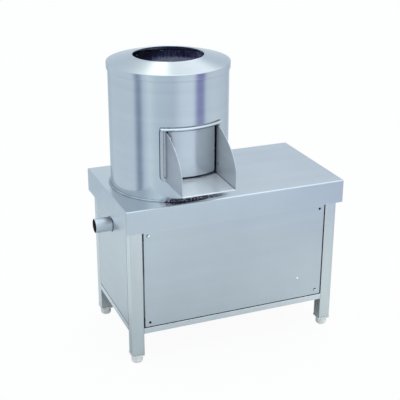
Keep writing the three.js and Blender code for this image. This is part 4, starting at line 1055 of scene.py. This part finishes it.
# %% Door
door_low, door_high = corners(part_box("door_panel"))
hinge_x, hinge_y, z = middle(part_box("door_hinge_pin"))
door_sheet, door_corner, finger_gap = 3 * mm, 8 * mm, 9.5 * mm
door_outer = radius - seat_gap
door_inner = door_outer - door_sheet
leaf_half, leaf_near, leaf_far = 2.5 * mm, 3 * mm, 8.4 * mm
door = turned("door_sheet", drum_axis, [
    (door_inner, door_low.z), (door_outer, door_low.z), (door_outer, door_high.z),
    (door_inner, door_high.z)], segments=fine_sides)
cut(door, opening_tool(hinge_x - leaf_half, opening_right - finger_gap,
                       door_low.z - 0.01 * mm, door_high.z + 1 * mm,
                       door_corner, door_corner), "INTERSECT")
soften(door, 0.5 * mm, 2, 50)
knuckle_hole, knuckle_radius, knuckle_height, knuckle_edge = 2.8 * mm, 5.5 * mm, 30 * mm, 0.5 * mm
knuckle_inset = 14 * mm
knuckles = []
for low in (door_low.z + knuckle_inset, door_high.z - knuckle_inset - knuckle_height):
    high = low + knuckle_height
    knuckles.append(turned("knuckle", (hinge_x, hinge_y), [
        (knuckle_hole, low), (knuckle_radius - knuckle_edge, low),
        (knuckle_radius, low + knuckle_edge), (knuckle_radius, high - knuckle_edge),
        (knuckle_radius - knuckle_edge, high), (knuckle_hole, high)], segments=32))
    knuckles.append(box_piece(
        "leaf", (hinge_x - leaf_half, hinge_y + leaf_near, low + knuckle_edge),
        (hinge_x + leaf_half, hinge_y + leaf_far, high - knuckle_edge)))
joined(door, *knuckles)
smooth(door, 40)
finished(door, steel_door, "door", "door_panel")
print("door", round((door_high.z - door_low.z) * 1000), "mm high")

# %% [markdown]
# The hinge pin, the bolt that keeps the door shut and the bush that it slides in are turned on
# the lathe, so their solids only get broken edges.

# %% Hinge pin, bolt and guide
for node_name, name, body, width in (("door_hinge_pin", "door_pin", "stand", 0.5 * mm),
                                     ("door_bolt", "door_bolt_rod", "bolt", 0.6 * mm),
                                     ("door_bolt_guide", "door_bolt_bush", "stand", 0.6 * mm)):
    piece = soften(merged_copy(node_name, name), width, 2)
    finished(piece, turned_steel, body, node_name)
    print(name, [round(v * 1000, 1) for v in piece.dimensions], "mm")

# %% [markdown]
# ## Drain pipe
# A circle is extruded down from the pan, spun through a quarter turn and extruded out to the
# side; Solidify gives the pipe its wall, and its inside is coloured nearly black as painted shade.

# %% Drain pipe
pipe_low, pipe_high = corners(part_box("drain_pipe"))
pipe_radius, pipe_wall, bend = 24 * mm, 2.2 * mm, 42 * mm
pipe_z = pipe_low.z + pipe_radius
bend_x = outlet_x - bend
pipe = circle("drain_pipe_tube", pipe_radius, (outlet_x, drum_y, pipe_high.z), 64)
edit()
bpy.ops.mesh.select_all(action="SELECT")
bpy.ops.mesh.extrude_region_move(
    TRANSFORM_OT_translate={"value": (0, 0, pipe_z + bend - pipe_high.z)})
bpy.ops.mesh.spin(steps=16, angle=-math.pi / 2, center=(bend_x, drum_y, pipe_z + bend),
                  axis=(0, 1, 0))
bpy.ops.mesh.extrude_region_move(TRANSFORM_OT_translate={"value": (pipe_low.x - bend_x, 0, 0)})
mend()
edit("OBJECT")
modifier(pipe, "SOLIDIFY", thickness=pipe_wall, offset=-1, use_even_offset=True)
soften(pipe, 0.5 * mm, 2, 60)
pipe.data.materials.append(steel_pipe)
# Painted shade inside the pipe.
shaded_black = add_finish(pipe, black_shade, lambda face: face.center.x < bend_x and math.hypot(
    face.center.y - drum_y, face.center.z - pipe_z) < pipe_radius - 1.7 * mm)
print("drain pipe of", len(pipe.data.polygons), "faces,", shaded_black, "of them grimy")

# %% [markdown]
# Where the pipe leaves the left panel, a thin dark ring paints the shadow round its root. It is
# made uneven by noise.

# %% Painted shadow round the pipe's root
side_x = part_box("left_panel")[0][0]
only()
bpy.ops.mesh.primitive_torus_add(
    major_segments=96, minor_segments=10, major_radius=pipe_radius + 0.5 * mm,
    minor_radius=1.1 * mm, rotation=along_x, location=(side_x - 0.2 * mm, drum_y, pipe_z))
settle()
root_shadow_ring = start("pipe_root_shadow_ring")
lumps = bpy.data.textures.new("root_shadow_lumps", "CLOUDS")
lumps.noise_scale = 14 * mm
modifier(root_shadow_ring, "DISPLACE", texture=lumps, strength=3 * mm, mid_level=0.45,
         texture_coords="OBJECT")
# The ring is painted shadow.
root_shadow_ring.data.materials.append(shadow_strip)
joined(pipe, smooth(root_shadow_ring, 60))
finished(pipe, None, "stand", "drain_pipe")
print("pipe", [round(v * 1000, 1) for v in pipe.dimensions], "mm, solid",
      [round(v * 1000, 1) for v in pipe_high - pipe_low])

# %% [markdown]
# ## Feet
# A square nylon plug closes each leg and carries a round foot. Both are moulded, so their edges
# are soft, and a fine line goes round the foot where the mould parted.

# %% Feet
foot_radius, foot_top, stem_radius, foot_round = 18.5 * mm, 26.4 * mm, 5 * mm, 9.5 * mm
parting_z, parting_depth = 15 * mm, 0.7 * mm
parted = foot_radius - parting_depth
for name in leg_names:
    plug = soften(merged_copy(f"{name}_plug", f"{name}_plug_moulding"), 0.8 * mm, 3, 40)
    finished(plug, nylon, "stand", f"{name}_plug")
    foot_low, foot_high = corners(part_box(f"{name}_foot"))
    top = foot_low.z + foot_top
    foot_piece = turned(f"{name}_foot_moulding", middle(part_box(f"{name}_foot"))[:2], [
        (stem_radius, foot_high.z), (stem_radius, top), (foot_radius - 0.8 * mm, top),
        (foot_radius, top - 0.8 * mm), (foot_radius, parting_z + 1 * mm),
        (parted, parting_z + 0.4 * mm), (parted, parting_z - 0.4 * mm),
        (foot_radius, parting_z - 1 * mm)]
        + arc((foot_radius - foot_round, foot_round), foot_round, 0, -90, 10)
        + [(4 * mm, 0)], segments=64, closed=False)
    smooth(foot_piece, 50)
    finished(foot_piece, nylon, f"foot_{name}", f"{name}_foot")
print(len(leg_names), "feet", round(2 * foot_radius * 1000), "mm across")

# %% [markdown]
# ## Screws
# Two pan-head screws are left in the front panel, and a blind rivet sits lower down. Each head
# is a turned dome, tilted a little as a loose screw is; the screws get a slot.

# %% Screws
dome_height, dome_stem, head_depth = 1.4 * mm, 2.0 * mm, 2.4 * mm
slot = (12 * mm, 2.4 * mm, 1.3 * mm)
dome = arc((0, 0), 1, 0, 80, 6)
for node_name, slot_angle, tilt in (("panel_screw_top_left", 0.5, 0.33),
                                    ("panel_screw_bottom_right", 1.1, -0.1),
                                    ("panel_rivet", None, 0.33)):
    low, high = corners(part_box(node_name))
    x, y, z = middle(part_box(node_name))
    head = (high.x - low.x) / 2
    back = low.y + head_depth
    screw = turned(f"{node_name}_head", (0, 0), [(dome_stem, back - high.y), (dome_stem, 0)]
                   + [(head * c, dome_height * s) for c, s in dome], segments=48, closed=False)
    edit()
    bpy.ops.mesh.select_all(action="SELECT")
    bpy.ops.transform.rotate(value=-math.pi / 2 + tilt, orient_axis="X",
                             center_override=(0, 0, 0))
    edit("OBJECT")
    screw.location = (x, back, z)
    settle()
    if slot_angle is not None:
        only()
        bpy.ops.mesh.primitive_cube_add(size=1, location=(x, low.y, z),
                                        rotation=(0, slot_angle, 0), scale=slot)
        cut(screw, start("slot_tool"))
    smooth(screw, 40)
    finished(screw, steel_screw, "stand", node_name)
    print(node_name, "head", round(2 * head * 1000, 1), "mm across")

# %% [markdown]
# ## Controls and the drive
# These are on the right side, at the back and underneath. Their solids already have the right
# forms, so copies of them get soft edges, in millimetres, and their real finishes. The lead is
# round already and is only shaded smooth.

# %% Controls and drive
for node_name, name, material, body, width in (
        ("start_button", "start_push", green_abs, "start", 1.0),
        ("stop_button", "stop_push", red_abs, "stop", 1.0),
        ("button_plate", "button_escutcheon", zinc_steel, "stand", 0.5),
        ("switch_box", "switch_housing", grey_abs, "stand", 1.5),
        ("terminal_box", "terminal_cover", grey_abs, "stand", 2.0),
        ("cable_gland", "cable_gland_body", grey_abs, "stand", 0.6),
        ("motor_lead", "motor_lead_sleeve", rubber, "stand", 0.0),
        ("motor_body", "motor_casing", enamel, "stand", 0.8),
        ("fan_cover", "fan_cowl", enamel, "stand", 1.0),
        ("motor_fan", "motor_fan_wheel", grey_abs, "motor_rotor", 0.5),
        ("motor_shaft", "motor_shaft_bar", turned_steel, "motor_rotor", 0.5),
        ("motor_pulley", "motor_pulley_casting", iron, "motor_rotor", 0.6),
        ("driven_pulley", "driven_pulley_casting", iron, "spindle", 0.8),
        ("main_shaft", "main_shaft_bar", turned_steel, "spindle", 0.8),
        ("drive_belt", "drive_belt_loop", rubber, "stand", 0.6),
        ("bearing_housing", "bearing_housing_casting", iron, "stand", 1.2),
        ("upper_bearing", "upper_bearing_ring", zinc_steel, "stand", 0.5),
        ("lower_bearing", "lower_bearing_ring", zinc_steel, "stand", 0.5),
        ("shaft_seal", "shaft_seal_ring", rubber, "stand", 0.4),
        ("motor_bracket", "motor_bracket_sheet", steel_top, "stand", 0.6)):
    piece = merged_copy(node_name, name)
    if width:
        soften(piece, width * mm, 2, 40)
    else:
        smooth(piece, 50)
    finished(piece, material, body, node_name)
    print(name, "of", len(piece.data.polygons), "faces")

# %% [markdown]
# ## Studio
# The photograph is a cut-out on white. The world is white where the camera sees it. What the
# steel sees is a pale room, painted in light levels: walls that vary round the horizon, and a
# ceiling above them. A level is a share of plain white in each colour.

# %% Tools for the room
world = bpy.data.worlds.new("pale_studio")
bpy.context.scene.world = world
world.use_nodes = True
sky = world.node_tree
sky.nodes.clear()
axes = node(sky, "SeparateXYZ", {0: node(sky, "TexCoord").outputs["Generated"]}).outputs
away = node(sky, "Math", {"operation": "MULTIPLY", 0: axes["Y"], 1: -1.0}).outputs[0]
bearing = node(sky, "Math", {"operation": "ARCTAN2", 0: axes["X"], 1: away}).outputs[0]
brightest = 2.5
degree = math.pi / 180


def as_colour(light):
    """A light's level in each colour, as a share of the brightest light in the room."""
    return tuple(channel / brightest for channel in light) + (1.0,)


def room_ramp(stops):
    """Light round the whole horizon, from (bearing in degrees, level) stops."""
    low, high = -180 * degree, 180 * degree
    share = node(sky, "MapRange", {"From Min": low, "From Max": high, "Value": bearing})
    return node(sky, "ValToRGB", {0: share.outputs[0]}, [
        ((place * degree - low) / (high - low), as_colour(light))
        for place, light in stops]).outputs[0]


def window(factor, none_low, full_low, full_high, none_high):
    """1 between two full places, falling to 0 at the places outside them."""
    span = none_high - none_low
    share = node(sky, "MapRange", {"From Min": none_low, "From Max": none_high,
                                   "Value": factor}).outputs[0]
    black, full = (0, 0, 0, 1), (1, 1, 1, 1)
    return node(sky, "ValToRGB", {0: share}, [
        (0.0, black), ((full_low - none_low) / span, full),
        ((full_high - none_low) / span, full), (1.0, black)]).outputs[0]


def patch(base, light, bearings, heights):
    """Sets a lit or dark flat into the room, between bearings and elevations in degrees."""
    across = window(bearing, *(value * degree for value in bearings))
    upright = window(axes["Z"], *(math.sin(value * degree) for value in heights))
    share = node(sky, "Math", {"operation": "MULTIPLY", 0: across, 1: upright}).outputs[0]
    return node(sky, "Mix", {"data_type": "RGBA", 0: share, 6: base,
                             7: as_colour(light)}).outputs[2]

# %% [markdown]
# Two dark flats, one to the left and one to the front right, draw the two dark bands on the
# drum, and a narrow bright strip of ceiling behind the machine draws the highlight on the lid.
# A softbox hangs over the camera, a patch of light is high at the back right, and the zenith is
# bright.

# %% Room
walls = room_ramp([
    (-176, (0.70, 0.74, 0.75)), (-164, (0.78, 0.83, 0.84)), (-150, (0.95, 0.94, 0.95)),
    (-97, (0.95, 0.95, 0.96)), (-66, (0.90, 0.93, 0.97)), (-57, (1.06, 1.08, 1.05)),
    (-44, (0.88, 0.92, 0.93)), (-12, (0.83, 0.84, 0.88)), (4, (1.06, 1.06, 1.08)),
    (22, (1.10, 1.10, 1.11)), (30, (1.08, 1.08, 1.10)), (58, (0.96, 0.97, 0.97)),
    (72, (1.02, 1.01, 0.99)), (108, (0.88, 0.88, 0.90)), (124, (0.74, 0.75, 0.77)),
    (150, (0.85, 0.86, 0.87))])
ceiling = room_ramp([
    (-175, (0.95, 0.95, 0.95)), (-150, (1.1, 1.1, 1.1)), (90, (1.2, 1.15, 1.1)),
    (130, (1.62, 1.53, 1.44)), (150, (1.56, 1.47, 1.39)), (159, (1.36, 1.28, 1.20)),
    (161.5, (2.5, 2.35, 2.0)), (165.5, (2.5, 2.35, 2.0)), (168, (1.45, 1.36, 1.26)),
    (170.5, (1.06, 1.03, 1.0)), (174, (0.9, 0.9, 0.92))])
above = node(sky, "MapRange", {"From Min": math.sin(24 * degree),
                               "From Max": math.sin(36 * degree), "Value": axes["Z"]})
room = node(sky, "Mix", {"data_type": "RGBA", 0: above.outputs[0], 6: walls,
                         7: ceiling}).outputs[2]
for light, bearings, heights in (
        ((0.38, 0.42, 0.52), (-90, -81, -76, -68), (-60, -50, -9, -5)),
        ((0.41, 0.38, 0.62), (27, 36, 47, 55), (-25, -19.5, -9, -5)),
        ((1.95, 1.86, 1.76), (116, 126, 145, 149), (30, 34, 41, 45)),
        ((1.55, 1.52, 1.48), (-70, -45, 60, 85), (5, 11, 62, 70)),
        ((2.0, 2.0, 2.0), (-180, -179.9, 179.9, 180), (54, 64, 89, 90))):
    room = patch(room, light, bearings, heights)
room = node(sky, "Mix", {"data_type": "RGBA", "blend_type": "MULTIPLY", 0: 1.0, 6: room,
                         7: (0.76, 0.86, 0.95, 1)}).outputs[2]
lit = node(sky, "Background", {"Strength": brightest, "Color": room}).outputs[0]
white = node(sky, "Background", {"Color": (1, 1, 1, 1), "Strength": 1.0}).outputs[0]
camera_ray = node(sky, "LightPath").outputs["Is Camera Ray"]
shown = node(sky, "MixShader", {0: camera_ray, 1: lit, 2: white}).outputs[0]
node(sky, "OutputWorld", {0: shown})
print("room of", len(sky.nodes), "nodes")

# %% [markdown]
# One large, weak lamp behind the machine gives the soft shadow in front of it. It is kept out
# of the reflections, because the room already has its lights.

# %% Lamp
only()
lamp_place = Vector((drum_x + 0.80, drum_y + 1.39, 1.85))
bpy.ops.object.light_add(type="AREA", location=lamp_place)
lamp = bpy.context.object
lamp.name = "softbox"
lamp.data.shape = "RECTANGLE"
lamp.data.size, lamp.data.size_y = 1.1, 1.1
lamp.data.energy = 8
aim = lamp_place - Vector((drum_x, drum_y, 0.95))
lamp.rotation_euler = aim.to_track_quat("Z", "Y").to_euler()
lamp.visible_camera = False
lamp.visible_glossy = False
print("lamp", round(aim.length, 2), "m from the drum")

# %% [markdown]
# The floor is white paper. To the camera it nearly glows, so that only the shadow shows. Steel
# sees it only near the machine, so that the dark flats reach below the horizon.

# %% Floor
only()
bpy.ops.mesh.primitive_plane_add(size=30, location=(0, 0, 0))
floor = start("studio_floor")
paper = bpy.data.materials.new("white_paper")
paper.use_nodes = True
tree = paper.node_tree
tree.nodes.clear()
matt = node(tree, "BsdfDiffuse", {"Color": (0.65, 0.655, 0.635, 1)}).outputs[0]
glow = node(tree, "Emission", {"Color": (1, 1, 1, 1), "Strength": 1.0}).outputs[0]
clear = node(tree, "BsdfTransparent").outputs[0]
ray = node(tree, "LightPath").outputs
glow_share = node(tree, "Math", {"operation": "MULTIPLY", 0: ray["Is Camera Ray"], 1: 0.95})
seen = node(tree, "MixShader", {0: glow_share.outputs[0], 1: matt, 2: glow}).outputs[0]
here = node(tree, "NewGeometry").outputs["Position"]
distance = node(tree, "VectorMath", {"operation": "LENGTH", 0: here}).outputs["Value"]
beyond = node(tree, "MapRange", {"From Min": 1.1, "From Max": 1.5, "Value": distance})
unseen = node(tree, "Math", {"operation": "MULTIPLY", 0: beyond.outputs[0],
                             1: ray["Is Glossy Ray"]}).outputs[0]
near_only = node(tree, "MixShader", {0: unseen, 1: seen, 2: clear}).outputs[0]
node(tree, "OutputMaterial", {0: near_only})
floor.data.materials.append(paper)
print("floor of", len(tree.nodes), "nodes")
